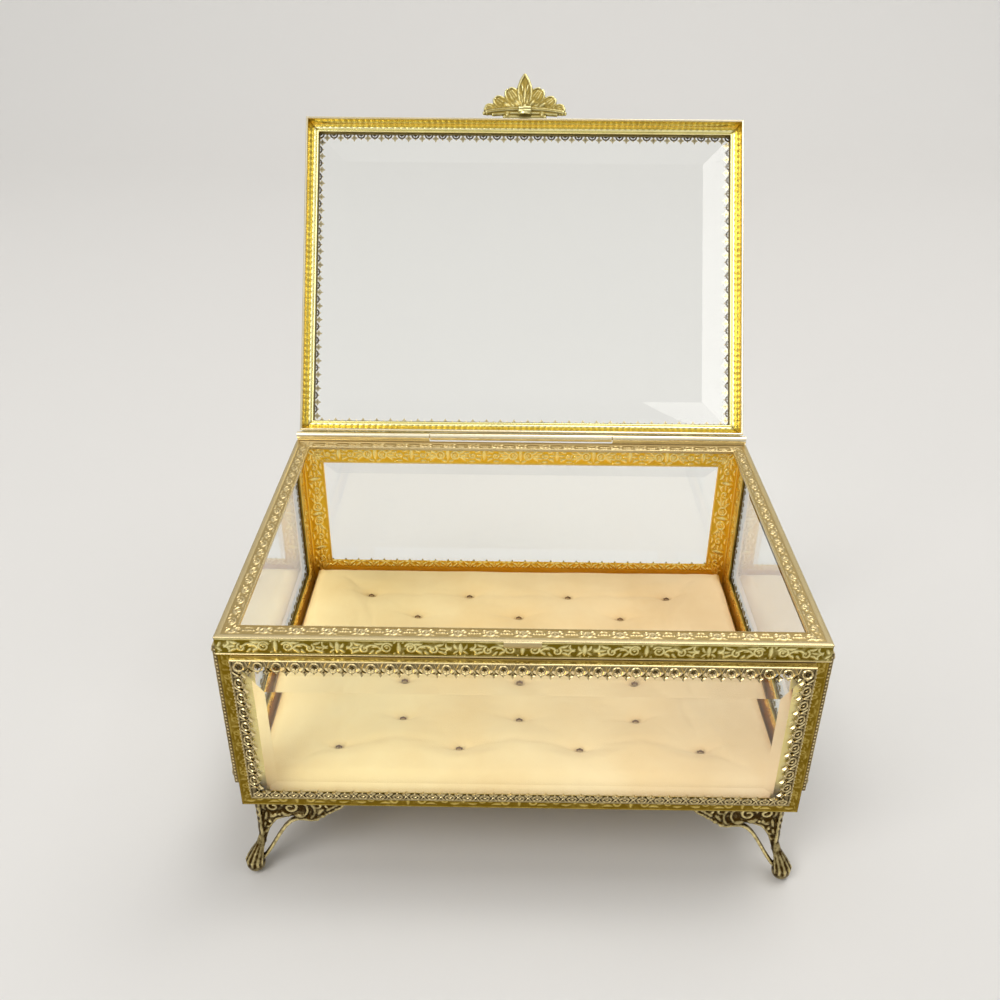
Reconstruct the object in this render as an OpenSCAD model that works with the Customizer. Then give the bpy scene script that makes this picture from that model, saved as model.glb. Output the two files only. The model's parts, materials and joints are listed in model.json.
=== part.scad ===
// Glass casket: a gilt brass box with bevelled panes, a tufted cushion, four filigree feet
// and a glazed lid on a rear hinge. The lid is drawn wide open.
// All lengths are in millimetres, and z = 0 is the surface that the feet stand on.

/* [Casket] */
// Width of the casket over its rim, left to right
body_w = 178; // [150:1:230]
// Depth of the casket over its rim, front to back
body_d = 127.5; // [105:0.5:170]
// Height of the body, from its underside to the top of the rim
body_h = 67.2; // [56:0.2:95]
// Height of the feet under the body
foot_h = 31; // [26:0.5:42]
// Angle that the lid is opened from shut
open_angle = 122; // [95:1:130]

/* [Walls] */
// Thickness of the pressed frame sheet
frame_t = 0.5; // [0.4:0.1:1.4]
// Width of a frame's upright bands, from its side to the pane
frame_side = 4.6; // [3.5:0.1:8]
// Height of a frame's bottom band, from its lower edge to the pane
frame_bottom = 6; // [4:0.1:9]
// Height of a frame's top band, from the pane to the rim's skirt
frame_top = 0.7; // [0.7:0.1:4]
// Thickness of the corner posts, which hold the inner frames off the frames
post_t = 1; // [0.8:0.1:3]
// Thickness of the inner frame that lines a wall
liner_t = 0.5; // [0.4:0.1:1.6]
// Width of the inner frame's upright bands
liner_side = 7.9; // [5:0.1:10]
// Height of the inner frames' bottom bands, from the base plate
liner_bottom = 11; // [9:0.1:15]
// Height of the front inner frame's bottom band, which leaves the cushion in view
liner_front_bottom = 3.2; // [2:0.1:6]
// Height from the inner frame's window to the top of the rim
liner_top = 9.2; // [8:0.1:12]
// Thickness of the base plate
base_t = 0.8; // [0.6:0.1:1.6]

/* [Rim] */
// Thickness of the rim's flat top
rim_t = 1.2; // [0.8:0.1:2]
// Thickness of the rim's skirt over the frames
skirt_t = 0.4; // [0.3:0.1:1.2]
// Height of the rim's skirt, from its lower edge to the top of the rim
skirt_h = 6.4; // [4:0.1:8]
// How far the rim's flat top reaches past the inner frames
rim_lip = 3.8; // [0.5:0.1:5]

/* [Panes] */
// Thickness of a pane's raised middle
pane_t = 4.8; // [4.2:0.1:7]
// Thickness of a pane at its edge
pane_edge_t = 2.2; // [1.6:0.1:3.2]
// Width of the bevel on the body's panes
bevel_w = 9.2; // [6:0.1:14]
// How far a pane lies over the edge of its window
pane_lap = 2; // [1:0.1:4]
// Clearance round a pane
pane_gap = 0.05; // [0.03:0.01:0.12]

/* [Galleries] */
// Width of a lace strip, from its bead to its points
lace_w = 4.5; // [4:0.1:7]
// Thickness of a lace strip
lace_t = 0.7; // [0.5:0.1:0.8]
// Width of a gallery's bead, which stands round the pane's edge
bead_w = 0.6; // [0.4:0.1:1.6]
// Spacing of the points along a lace strip
lace_pitch = 5.55; // [4:0.05:9]
// Width of a point of the lace
point_w = 2.8; // [2:0.1:3.4]
// Height of a point of the lace, from its neck
point_h = 2.4; // [1.8:0.1:2.7]
// Width of a point's neck
neck_w = 1.2; // [0.8:0.1:1.8]
// Gap between two strips of lace at a corner
corner_gap = 0.15; // [0.1:0.05:0.4]

/* [Cushion] */
// Height of the cushion's top over the body's underside
cushion_top = 10; // [8:0.2:18]
// Clearance between the cushion and the inner frames
cushion_gap = 0.3; // [0.3:0.1:1.5]
// Thickness of the board under the cushion
board_t = 1.5; // [1:0.1:2.5]
// Width and fall of the cushion's sloping edge
cushion_edge = 1.2; // [1:0.1:4]
// Spacing of the tufts along a row
tuft_step_x = 40; // [30:1:60]
// Spacing of the rows of tufts
tuft_step_y = 14.1; // [10:0.1:24]
// Least distance from a tuft to the cushion's sides
tuft_margin = 15; // [9:0.5:20]
// Diameter of the pit at a tuft
tuft_d = 3.4; // [2.6:0.1:5]
// Depth of the pit at a tuft
tuft_depth = 3; // [2:0.1:4]
// Diameter of a tuft's stitch knot
stitch_d = 2.4; // [1.6:0.1:2.5]
// Height of a stitch knot
stitch_h = 1; // [0.6:0.1:1.5]

/* [Feet] */
// How far a foot's wings stand in from the frames
foot_inset = 3; // [1:0.1:6]
// Length of a foot's wing from its own corner
wing_l = 29; // [20:0.5:38]
// Height of a wing's curled inner end
wing_end_h = 4.5; // [3:0.5:6]
// Depth of a wing where it meets its strap
wing_drop = 11; // [8:0.5:14]
// Length of a wing's curl, from its inner end to its full depth
curl_l = 8; // [6:0.5:10]
// Length of a wing's leaf, between its curl and its strap
leaf_l = 9; // [6:0.5:11]
// Width of the slanting strap between wing and ankle
strap_w = 1.6; // [1.2:0.1:2]
// Depth of the foot's narrow ankle under the body
ankle_drop = 20.5; // [18:0.5:22]
// Width of the ankle on each wing
ankle_w = 3.6; // [3:0.1:4.4]
// Thickness of a foot's wings
wing_t = 1.8; // [1.2:0.1:2.6]
// Radius of a foot's round toe
toe_r = 3.1; // [2.4:0.1:4.5]
// How far the toe's centre stands in from the frames
toe_inset = 0.6; // [0.5:0.1:4]
// Radius of the leaf over the toe, where it meets the toe
claw_r = 2.6; // [2:0.1:3]
// Height of that leaf's centre over the toe's centre
claw_rise = 1; // [0.5:0.1:2]
// Thickness of the gusset under the corner of the base
gusset_t = 1; // [0.8:0.1:1.6]
// Length of the gusset along each wing
gusset_l = 14.5; // [8:0.5:18]
// Radius of the flat under a toe
toe_pad_r = 1.8; // [1.2:0.1:2.2]

/* [Lid] */
// How far the lid stands in from the rim at each side
lid_inset = 1.5; // [0:0.1:3]
// Height of the lid's rails
lid_h = 8; // [7:0.1:15]
// Thickness of the lid's rails
lid_wall = 1; // [0.8:0.1:1.5]
// Width of the lid's top band, from its edge to the pane
lid_band = 2; // [1.6:0.1:5]
// Thickness of the lid's inner moulding
lid_liner_t = 2.4; // [1:0.1:3.4]
// Width of the lid's inner moulding
lid_liner_w = 3.7; // [3.2:0.1:5.6]
// Width of the bevel on the lid's pane
lid_bevel_w = 12.2; // [7:0.1:15]
// Clearance between the shut lid and the rim
lid_gap = 0.2; // [0.15:0.01:0.5]

/* [Hinge] */
// Radius of the hinge knuckles
knuckle_r = 1.5; // [1.4:0.05:1.8]
// Radius of the hinge pin
pin_r = 0.75; // [0.6:0.05:0.8]
// Running clearance of the pin in the lid's knuckle
pin_gap = 0.05; // [0.02:0.01:0.08]
// Length of the middle knuckle
knuckle_l = 71.7; // [50:0.1:110]
// Gap between neighbouring knuckles
knuckle_gap = 0.3; // [0.2:0.05:0.6]
// Clearance between the knuckles and the rim and lid beside them
hinge_gap = 0.25; // [0.2:0.05:0.5]
// Thickness of the hinge leaves
leaf_t = 0.8; // [0.6:0.1:1]
// Height of the hinge leaves beyond the knuckles
leaf_h = 4; // [3:0.1:4.5]

/* [Thumb lift and catches] */
// Width of the thumb lift over its outer scrolls
lift_w = 34; // [26:0.5:44]
// Length of the thumb lift, from the lid to its point
lift_l = 19; // [15:0.5:26]
// Thickness of the thumb lift
lift_t = 1.4; // [1:0.1:2]
// Lean of the thumb lift, up from the shut lid
lift_lean = 10; // [0:1:20]
// Height of the thumb lift's root over the lid's lower edge
lift_rise = 1.6; // [1:0.1:3]
// Distance of the thumb lift's plate from the lid
lift_gap = 1.6; // [1.3:0.1:2.4]
// Width of the block that joins the thumb lift to the lid
lift_root_w = 17; // [10:0.5:22]
// Height of that block
lift_root_h = 3.4; // [2:0.1:5]
// Radius of the thumb lift's outer curls
lift_curl_r = 2.2; // [1.6:0.1:2.6]
// Radius of the buds above its curls
lift_bud_r = 2.6; // [2:0.1:3.2]
// Radius of the loops beside its centre leaf
lift_loop_r = 3.8; // [3:0.1:4.4]
// Width of the centre leaf
lift_leaf_w = 5.4; // [4:0.1:7]
// Width of the front catch under the rim's edge
catch_w = 11; // [7:0.5:16]
// Height of the front catch
catch_h = 2.2; // [1.6:0.1:3.5]
// Thickness of the front catch and the lid's catch
catch_t = 0.9; // [0.7:0.1:1.4]
// Width of the lid's catch
clip_w = 5.2; // [4:0.1:7]
// Clearance between the two catches when shut
catch_gap = 0.35; // [0.3:0.01:0.6]

/* [Hidden] */
$fn = 48;
// How far a cut runs past the face that it goes through
cut = 1;
SIDES = ["front", "rear", "left", "right"];
gilt = "#c9a227";
pale_gilt = "#d8c27a";
deep_gilt = "#b8860b";

// Depth of each layer of a wall, measured inwards from the face of the rim's skirt
frame_face = skirt_t;
frame_back = frame_face + frame_t;
liner_face = frame_back + post_t;
liner_back = liner_face + liner_t;
rim_w = liner_back + rim_lip;
// A gallery's bead stands as high as the pane's edge, and its lace leans in over the bevel
bead_t = pane_edge_t + 2 * pane_gap + lace_t;
wall_lean = atan2(pane_t - pane_edge_t, bevel_w);
lid_lean = atan2(pane_t - pane_edge_t, lid_bevel_w);
// The pane's seat on a frame, as its margin from the body's sides and its lower and upper edge,
// and the window in the frame behind the pane
seat_side = frame_face + frame_side;
seat_low = frame_bottom;
seat_high = body_h - skirt_h - frame_top;
window_side = seat_side + pane_lap;
window_low = seat_low + pane_lap;
window_high = seat_high - pane_lap;
frame_high = body_h - rim_t;
liner_window_side = liner_back + liner_side;
liner_window_high = body_h - liner_top;
cushion_base = base_t + board_t;
cushion_w = body_w - 2 * liner_back - 2 * cushion_gap;
cushion_d = body_d - 2 * liner_back - 2 * cushion_gap;
tuft_cols = 1 + floor((cushion_w - 2 * tuft_margin) / tuft_step_x);
tuft_rows = 1 + floor((cushion_d - 2 * tuft_margin) / tuft_step_y);
// The hinge's axis, and the shut lid's edges, over the body's underside
axis_y = body_d / 2 + leaf_t / 2;
axis_z = body_h + hinge_gap + knuckle_r;
lid_back = axis_y - knuckle_r - hinge_gap;
lid_front = -body_d / 2;
lid_w = body_w - 2 * lid_inset;
lid_low = body_h + lid_gap;
lid_high = lid_low + lid_h;
lid_flange_low = lid_high - lid_wall;
hinge_l = body_w - 2 * frame_face;
// A foot's strap leaves its wing this far from the foot's corner
strap_x = wing_l - curl_l - leaf_l;
// The thumb lift's root and its point on the shut lid
lift_y = lid_front - lift_gap;
lift_z = lid_low + lift_rise;
lift_tip_y = lift_y - lift_l * cos(lift_lean);
lift_tip_z = lift_z + lift_l * sin(lift_lean) + lift_t / 2;
// The origin is under the middle of the open casket's bounding box
open_reach = axis_y + (lift_tip_y - axis_y) * cos(open_angle) + (lift_tip_z - axis_z) * sin(open_angle);
front_reach = body_d / 2 + max(toe_r - toe_inset, pane_t + pane_gap) - frame_face;
shift_y = (front_reach - open_reach) / 2;

// Places a shape drawn over the body's underside
module on_body() {
    translate([0, shift_y, foot_h])
        children();
}

// Places a shape drawn on the shut lid, and opens it
module on_lid() {
    on_body()
        translate([0, axis_y, axis_z])
            rotate([-open_angle, 0, 0])
                translate([0, -axis_y, -axis_z])
                    children();
}

// Turns a shape drawn against the front wall, whose face is at y = 0, to one of the four walls
module on_wall(side) {
    turn = side == "front" ? 0 : side == "right" ? 90 : side == "rear" ? 180 : -90;
    reach = (side == "front" || side == "rear") ? body_d / 2 : body_w / 2;
    rotate([0, 0, turn])
        translate([0, -reach, 0])
            children();
}

// Length of a wall over the rim
function wall_l(side) = (side == "front" || side == "rear") ? body_w : body_d;

// A bar with mitred ends along a wall, between two depths and two heights
module mitred_bar(length, near, far, low, high) {
    half = length / 2;
    translate([0, 0, low])
        linear_extrude(high - low)
            polygon([
                [-half + near, near], [half - near, near],
                [half - far, far], [-half + far, far]
            ]);
}

// A mitred sheet with a rectangular window
module window_sheet(length, near, far, low, high, side_margin, window_from, window_to) {
    width = length - 2 * side_margin;
    difference() {
        mitred_bar(length, near, far, low, high);
        translate([-width / 2, near - cut, window_from])
            cube([width, far - near + 2 * cut, window_to - window_from]);
    }
}

// A flat pane with its back at y = 0, its bevelled middle raised towards -y
module bevelled_pane(width, height, bevel) {
    x = width / 2;
    z = height / 2;
    points = [
        for (step = [[0, 0], [pane_edge_t, 0], [pane_t, bevel]])
            let (a = x - step[1], b = z - step[1])
                each [[-a, -step[0], -b], [a, -step[0], -b], [a, -step[0], b], [-a, -step[0], b]]
    ];
    sides = [
        for (ring = [0, 4], k = [0 : 3])
            [ring + 4 + k, ring + 4 + (k + 1) % 4, ring + (k + 1) % 4, ring + k]
    ];
    polyhedron(points, concat([[0, 1, 2, 3], [11, 10, 9, 8]], sides));
}

// Outline of a lace strip, from its root along y = 0 to its points
module lace_outline(length, depth) {
    count = max(2, round((length - 2 * depth) / lace_pitch));
    pitch = (length - 2 * depth) / count;
    half = length / 2;
    neck = depth - point_h;
    waist = depth - point_h / 2;
    points = [
        for (i = [0 : count - 1])
            let (x = half - depth - (i + 0.5) * pitch)
                each [
                    [x + neck_w / 2, neck], [x + point_w / 2, waist], [x, depth],
                    [x - point_w / 2, waist], [x - neck_w / 2, neck]
                ]
    ];
    polygon(concat([[-half, 0], [half, 0], [half - neck, neck]], points, [[-half + neck, neck]]));
}

// One leaning lace strip along the lower edge of a window; the window's plane is y = 0
module lace_strip(length, lean) {
    rotate([90 + lean, 0, 0])
        linear_extrude(lace_t)
            lace_outline(length - 2 * corner_gap, lace_w - bead_w);
}

// A gallery round a pane, standing on the plane y = 0 with its points leaning in towards -y
module gallery_ring(width, height, lean) {
    for (turn = [0, 180])
        rotate([0, turn, 0])
            translate([0, lace_t - bead_t, -height / 2])
                lace_strip(width, lean);
    for (turn = [90, -90])
        rotate([0, turn, 0])
            translate([0, lace_t - bead_t, -width / 2])
                lace_strip(height, lean);
    difference() {
        translate([-width / 2 - bead_w, -bead_t, -height / 2 - bead_w])
            cube([width + 2 * bead_w, bead_t, height + 2 * bead_w]);
        translate([-width / 2, -bead_t - cut, -height / 2])
            cube([width, bead_t + 2 * cut, height]);
    }
}

module frame(side) {
    color(gilt) on_body() on_wall(side)
        window_sheet(wall_l(side), frame_face, frame_back, 0, frame_high,
            window_side, window_low, window_high);
}

module liner(side) {
    band = side == "front" ? liner_front_bottom : liner_bottom;
    color(deep_gilt) on_body() on_wall(side)
        window_sheet(wall_l(side), liner_face, liner_back, base_t, frame_high,
            liner_window_side, base_t + band, liner_window_high);
}

module pane(side) {
    color("#dfe8e4", 0.35) on_body() on_wall(side)
        translate([0, frame_face - pane_gap, (seat_low + seat_high) / 2])
            bevelled_pane(wall_l(side) - 2 * seat_side - 2 * pane_gap,
                seat_high - seat_low - 2 * pane_gap, bevel_w);
}

module gallery(side) {
    color(pale_gilt) on_body() on_wall(side)
        translate([0, frame_face, (seat_low + seat_high) / 2])
            gallery_ring(wall_l(side) - 2 * seat_side, seat_high - seat_low, wall_lean);
}

module rim(side) {
    color(pale_gilt) on_body() on_wall(side) {
        mitred_bar(wall_l(side), 0, rim_w, frame_high, body_h);
        mitred_bar(wall_l(side), 0, skirt_t, body_h - skirt_h, frame_high);
    }
}

// A square post in a corner, between the frames and the inner frames
module post(x_side, y_side) {
    color(deep_gilt) on_body()
        mirror([x_side > 0 ? 1 : 0, 0, 0]) mirror([0, y_side > 0 ? 1 : 0, 0])
            translate([-body_w / 2 + frame_back, -body_d / 2 + frame_back, base_t])
                cube([post_t, post_t, frame_high - base_t]);
}

module base_plate() {
    color(deep_gilt) on_body()
        translate([-body_w / 2 + frame_back, -body_d / 2 + frame_back, 0])
            cube([body_w - 2 * frame_back, body_d - 2 * frame_back, base_t]);
}

module cushion_board() {
    color("#a58d62") on_body()
        translate([0, 0, base_t])
            linear_extrude(board_t)
                square([cushion_w, cushion_d], center = true);
}

// Puts a shape at every tuft. Every second row has one tuft fewer, between those beside it
module at_tufts() {
    for (row = [0 : tuft_rows - 1])
        for (i = [row % 2 : tuft_cols - 1])
            translate([
                (i - (tuft_cols - 1 + row % 2) / 2) * tuft_step_x,
                (row - (tuft_rows - 1) / 2) * tuft_step_y, 0
            ])
                children();
}

module cushion() {
    color("#f0d7a0") on_body()
        difference() {
            hull() {
                translate([0, 0, cushion_base])
                    linear_extrude(cushion_top - cushion_base - cushion_edge)
                        square([cushion_w, cushion_d], center = true);
                translate([0, 0, cushion_base])
                    linear_extrude(cushion_top - cushion_base)
                        square([cushion_w - 2 * cushion_edge, cushion_d - 2 * cushion_edge], center = true);
            }
            at_tufts()
                translate([0, 0, cushion_top - tuft_depth])
                    cylinder(d = tuft_d, h = tuft_depth + cut);
        }
}

module tuft_stitches() {
    color("#8a6a3c") on_body()
        at_tufts()
            translate([0, 0, cushion_top - tuft_depth])
                cylinder(d = stitch_d, h = stitch_h);
}

// Outline of a foot's wing: x runs along the body's edge from the foot's corner, y is up
module wing_outline() {
    polygon([
        [0, 0], [wing_l, 0], [wing_l, -wing_end_h], [wing_l - curl_l, -wing_drop],
        [strap_x, -wing_drop], [ankle_w + strap_w, -ankle_drop], [ankle_w, -ankle_drop - strap_w],
        [0, -ankle_drop - strap_w]
    ]);
}

// The gap between a foot's leg and its strap
module web_outline() {
    polygon([
        [strap_x - strap_w, -wing_drop + strap_w], [ankle_w, -ankle_drop],
        [ankle_w + strap_w, -wing_drop]
    ]);
}

// The foot of the corner at -x, -y. Its mirrored wings meet at the foot's corner
module corner_foot() {
    corner = frame_face + foot_inset;
    toe = frame_face + toe_inset;
    translate([-body_w / 2, -body_d / 2, 0]) {
        for (flip = [0, 1])
            mirror([flip, -flip, 0])
                translate([corner, corner + wing_t, 0])
                    rotate([90, 0, 0])
                        linear_extrude(wing_t)
                            difference() {
                                wing_outline();
                                web_outline();
                            }
        translate([corner, corner, -gusset_t])
            linear_extrude(gusset_t)
                polygon([[0, 0], [gusset_l, 0], [0, gusset_l]]);
        hull() {
            translate([corner + wing_t, corner + wing_t, -ankle_drop])
                sphere(r = wing_t, $fn = 24);
            translate([toe, toe, -foot_h + toe_r + claw_rise])
                sphere(r = claw_r, $fn = 24);
        }
        translate([toe, toe, -foot_h])
            rotate_extrude()
                intersection() {
                    translate([0, toe_r * sin(acos(toe_pad_r / toe_r))])
                        circle(r = toe_r);
                    square([toe_r, 2 * toe_r]);
                }
    }
}

module foot(x_side, y_side) {
    color(gilt) on_body()
        mirror([x_side > 0 ? 1 : 0, 0, 0]) mirror([0, y_side > 0 ? 1 : 0, 0])
            corner_foot();
}

// A round rod on the hinge's axis, from one x to another
module rod(from, to, radius) {
    translate([from, axis_y, axis_z])
        rotate([0, 90, 0])
            cylinder(r = radius, h = to - from);
}

// An outer knuckle with its leaf on the back of the rim
module hinge_knuckle(x_side) {
    inner = knuckle_l / 2 + knuckle_gap;
    outer = hinge_l / 2;
    color(gilt) on_body()
        mirror([x_side < 0 ? 1 : 0, 0, 0])
            difference() {
                union() {
                    rod(inner, outer, knuckle_r);
                    translate([inner, body_d / 2, axis_z - knuckle_r - leaf_h])
                        cube([outer - inner, leaf_t, knuckle_r + leaf_h]);
                }
                rod(inner - cut, outer + cut, pin_r);
            }
}

module hinge_pin() {
    color("#9a8a5a") on_body()
        rod(-hinge_l / 2, hinge_l / 2, pin_r);
}

module front_catch() {
    color(gilt) on_body()
        translate([-catch_w / 2, -body_d / 2 - catch_t, body_h - catch_h])
            cube([catch_w, catch_t, catch_h]);
}

// Turns a shape drawn against the lid's front rail, whose face is at y = 0, to one of its four rails
module on_rail(side) {
    long = side == "front" || side == "rear";
    turn = side == "front" ? 0 : side == "right" ? 90 : side == "rear" ? 180 : -90;
    reach = long ? (lid_back - lid_front) / 2 : lid_w / 2;
    translate([0, (lid_back + lid_front) / 2, 0])
        rotate([0, 0, turn])
            translate([0, -reach, 0])
                children();
}

function rail_l(side) = (side == "front" || side == "rear") ? lid_w : lid_back - lid_front;

module lid_rail(side) {
    color(gilt) on_lid() on_rail(side) {
        mitred_bar(rail_l(side), 0, lid_wall, lid_low, lid_high);
        mitred_bar(rail_l(side), 0, lid_band + pane_lap, lid_flange_low, lid_high);
    }
}

module lid_liner() {
    color(pale_gilt) on_lid()
        for (side = SIDES)
            on_rail(side)
                mitred_bar(rail_l(side), lid_wall, lid_wall + lid_liner_w,
                    lid_flange_low - lid_liner_t, lid_flange_low);
}

module lid_pane() {
    margin = lid_band + pane_gap;
    color("#dfe8e4", 0.35) on_lid()
        translate([0, (lid_back + lid_front) / 2, lid_high + pane_gap])
            rotate([-90, 0, 0])
                bevelled_pane(lid_w - 2 * margin, lid_back - lid_front - 2 * margin, lid_bevel_w);
}

module lid_gallery() {
    color(pale_gilt) on_lid()
        translate([0, (lid_back + lid_front) / 2, lid_high])
            rotate([-90, 0, 0])
                gallery_ring(lid_w - 2 * lid_band, lid_back - lid_front - 2 * lid_band, lid_lean);
}

module lid_knuckle() {
    half = knuckle_l / 2;
    color(gilt) on_lid()
        difference() {
            union() {
                rod(-half, half, knuckle_r);
                translate([-half, lid_back, axis_z])
                    cube([knuckle_l, leaf_t, knuckle_r + leaf_h]);
            }
            rod(-half - cut, half + cut, pin_r + pin_gap);
        }
}

// Outline of the thumb lift: a pointed leaf between loops, buds and curls; y runs from root to point
module lift_outline() {
    half = lift_w / 2;
    leaf = lift_leaf_w / 2;
    bud_y = lift_curl_r + lift_bud_r;
    loop_x = leaf + lift_loop_r - lift_t;
    loop_y = bud_y + lift_loop_r;
    bud_x = (half - lift_curl_r + loop_x) / 2 + lift_t;
    for (s = [-1, 1]) {
        translate([s * (half - lift_curl_r), lift_curl_r])
            circle(r = lift_curl_r);
        translate([s * bud_x, bud_y])
            circle(r = lift_bud_r);
        translate([s * loop_x, loop_y])
            circle(r = lift_loop_r);
    }
    polygon([
        [-half + lift_curl_r, 0], [half - lift_curl_r, 0], [bud_x, bud_y], [loop_x, loop_y],
        [leaf, loop_y + lift_loop_r], [0, lift_l], [-leaf, loop_y + lift_loop_r],
        [-loop_x, loop_y], [-bud_x, bud_y]
    ]);
}

module thumb_lift() {
    color(pale_gilt) on_lid() {
        translate([0, lift_y, lift_z])
            rotate([-lift_lean, 0, 0])
                mirror([0, 1, 0])
                    linear_extrude(lift_t)
                        lift_outline();
        translate([-lift_root_w / 2, lift_y, lift_z])
            cube([lift_root_w, lift_gap, lift_root_h]);
    }
}

module lid_catch() {
    face = -body_d / 2 - catch_t - catch_gap;
    color(gilt) on_lid()
        translate([-clip_w / 2, face - catch_t, body_h - catch_h / 2])
            cube([clip_w, catch_t, lift_z - body_h + catch_h / 2]);
}

base_plate();
cushion_board();
cushion();
tuft_stitches();
frame("front");  // frame_front
frame("rear");  // frame_rear
frame("left");  // frame_left
frame("right");  // frame_right
liner("front");  // liner_front
liner("rear");  // liner_rear
liner("left");  // liner_left
liner("right");  // liner_right
pane("front");  // pane_front
pane("rear");  // pane_rear
pane("left");  // pane_left
pane("right");  // pane_right
gallery("front");  // gallery_front
gallery("rear");  // gallery_rear
gallery("left");  // gallery_left
gallery("right");  // gallery_right
rim("front");  // rim_front
rim("rear");  // rim_rear
rim("left");  // rim_left
rim("right");  // rim_right
post(-1, -1);  // post_front_left
post(1, -1);  // post_front_right
post(-1, 1);  // post_rear_left
post(1, 1);  // post_rear_right
foot(-1, -1);  // foot_front_left
foot(1, -1);  // foot_front_right
foot(-1, 1);  // foot_rear_left
foot(1, 1);  // foot_rear_right
hinge_knuckle(-1);  // hinge_knuckle_left
hinge_knuckle(1);  // hinge_knuckle_right
hinge_pin();
front_catch();
lid_rail("front");  // lid_rail_front
lid_rail("rear");  // lid_rail_rear
lid_rail("left");  // lid_rail_left
lid_rail("right");  // lid_rail_right
lid_liner();
lid_pane();
lid_gallery();
lid_knuckle();
thumb_lift();
lid_catch();
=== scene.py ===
"""Glass casket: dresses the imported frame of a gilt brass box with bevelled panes, a tufted velvet
cushion, filigree feet and a glazed lid. Shapes are worked out in millimetres over the body's
underside, and placed in metres."""
import json
import math

import bpy
import numpy as np
from mathutils import Matrix, Vector


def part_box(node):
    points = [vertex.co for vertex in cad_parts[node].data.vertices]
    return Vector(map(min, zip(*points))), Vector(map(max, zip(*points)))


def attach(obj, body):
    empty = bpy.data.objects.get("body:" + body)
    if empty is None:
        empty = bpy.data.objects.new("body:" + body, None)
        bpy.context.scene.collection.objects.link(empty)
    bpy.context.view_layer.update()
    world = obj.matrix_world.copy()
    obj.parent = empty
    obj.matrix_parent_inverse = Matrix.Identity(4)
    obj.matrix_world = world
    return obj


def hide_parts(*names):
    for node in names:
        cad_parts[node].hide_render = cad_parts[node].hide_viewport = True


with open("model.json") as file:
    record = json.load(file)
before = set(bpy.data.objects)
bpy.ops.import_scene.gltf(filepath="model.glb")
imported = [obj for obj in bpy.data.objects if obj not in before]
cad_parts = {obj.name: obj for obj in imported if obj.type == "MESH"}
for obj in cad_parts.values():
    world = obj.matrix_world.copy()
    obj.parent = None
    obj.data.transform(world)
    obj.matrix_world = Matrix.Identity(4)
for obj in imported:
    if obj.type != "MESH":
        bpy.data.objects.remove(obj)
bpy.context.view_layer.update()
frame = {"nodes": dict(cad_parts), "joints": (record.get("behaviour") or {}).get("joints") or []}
scene = bpy.context.scene
MM = 0.001
SIDES = ("front", "rear", "left", "right")
CORNERS = ("front_left", "front_right", "rear_left", "rear_right")

# Sizes, in millimetres


def corners(node):
    """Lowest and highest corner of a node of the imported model."""
    low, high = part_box(node)
    return np.array(low) / MM, np.array(high) / MM


rim_low, rim_high = corners("rim_front")
flank_low, flank_high = corners("rim_left")
under = corners("base_plate")[0][2]
body_w = rim_high[0] - rim_low[0]
body_d = flank_high[1] - flank_low[1]
body_h = rim_high[2] - under
mid_y = (flank_low[1] + flank_high[1]) / 2
rim_w = rim_high[1] - rim_low[1]
skirt_h = rim_high[2] - rim_low[2]
frame_face = skirt_t = corners("frame_front")[0][1] - rim_low[1]
frame_back = corners("frame_front")[1][1] - rim_low[1]
liner_face = corners("liner_front")[0][1] - rim_low[1]
liner_back = corners("liner_front")[1][1] - rim_low[1]
frame_high = corners("frame_front")[1][2] - under
base_t = corners("liner_front")[0][2] - under
pane_gap, pane_lap = 0.05, 2.0
bevel_w, lid_bevel_w, bevel_drop = 9.2, 12.2, 2.6
seat_side = rim_high[0] - corners("pane_front")[1][0] - pane_gap
seat_low = corners("pane_front")[0][2] - under - pane_gap
seat_high = corners("pane_front")[1][2] - under + pane_gap
window_side, window_low, window_high = seat_side + pane_lap, seat_low + pane_lap, seat_high - pane_lap
liner_side, liner_top = 10.3, 9.2
liner_low, liner_front_low, liner_side_low = 11.8, 4.0, 10.2
liner_high = body_h - liner_top
rim_t = 1.2
bead_w, bead_t, lace_t = 0.6, 3.0, 0.7
lace_lean = math.atan2(bevel_drop, bevel_w)
lid_lean = math.atan2(bevel_drop, lid_bevel_w)
lace_pitch, lace_end, pearl_pitch = 5.55, 2.1, 1.35
cushion_low, cushion_high = corners("cushion")
hinge = np.array(frame["joints"][0]["pos_m"]) / MM
axis_y, axis_z = hinge[1] - mid_y, hinge[2] - under
open_angle = math.radians(122)
lid_inset, lid_gap, lid_h, lid_behind = 1.5, 0.2, 8.0, 1.75
lid_w = body_w - 2 * lid_inset
lid_front = -body_d / 2
lid_back = axis_y - lid_behind
lid_low = body_h + lid_gap
lid_high = lid_low + lid_h
lid_band, lid_wall = 2.0, 1.0
lid_flange_low = lid_high - lid_wall
lid_liner_h, lid_inner = 2.4, 4.7
lid_liner_low = lid_flange_low - lid_liner_h
foot_inset, toe_inset, toe_r, gusset_l = 3.0, 1.0, 3.1, 14.5
lift_out, lift_lean = 1.6, math.radians(10)
clip_gap, clip_t, clip_r = 0.35, 0.9, 2.6
tuft_pitch, tuft_row_pitch, tuft_margin, tuft_depth = 40.0, 14.1, 15, 3.0
pad_inset, pad_crown, pad_reach = 0.4, 1.0, 1.6

# Places


def move(x, y, z):
    return Matrix.Translation((x, y, z))


def turn(angle, axis):
    return Matrix.Rotation(angle, 4, axis)


BODY = move(0, mid_y, under)
LID = BODY @ move(0, axis_y, axis_z) @ turn(-open_angle, "X") @ move(0, -axis_y, -axis_z)
TURNS = {"front": 0, "right": math.pi / 2, "rear": math.pi, "left": -math.pi / 2}


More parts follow.
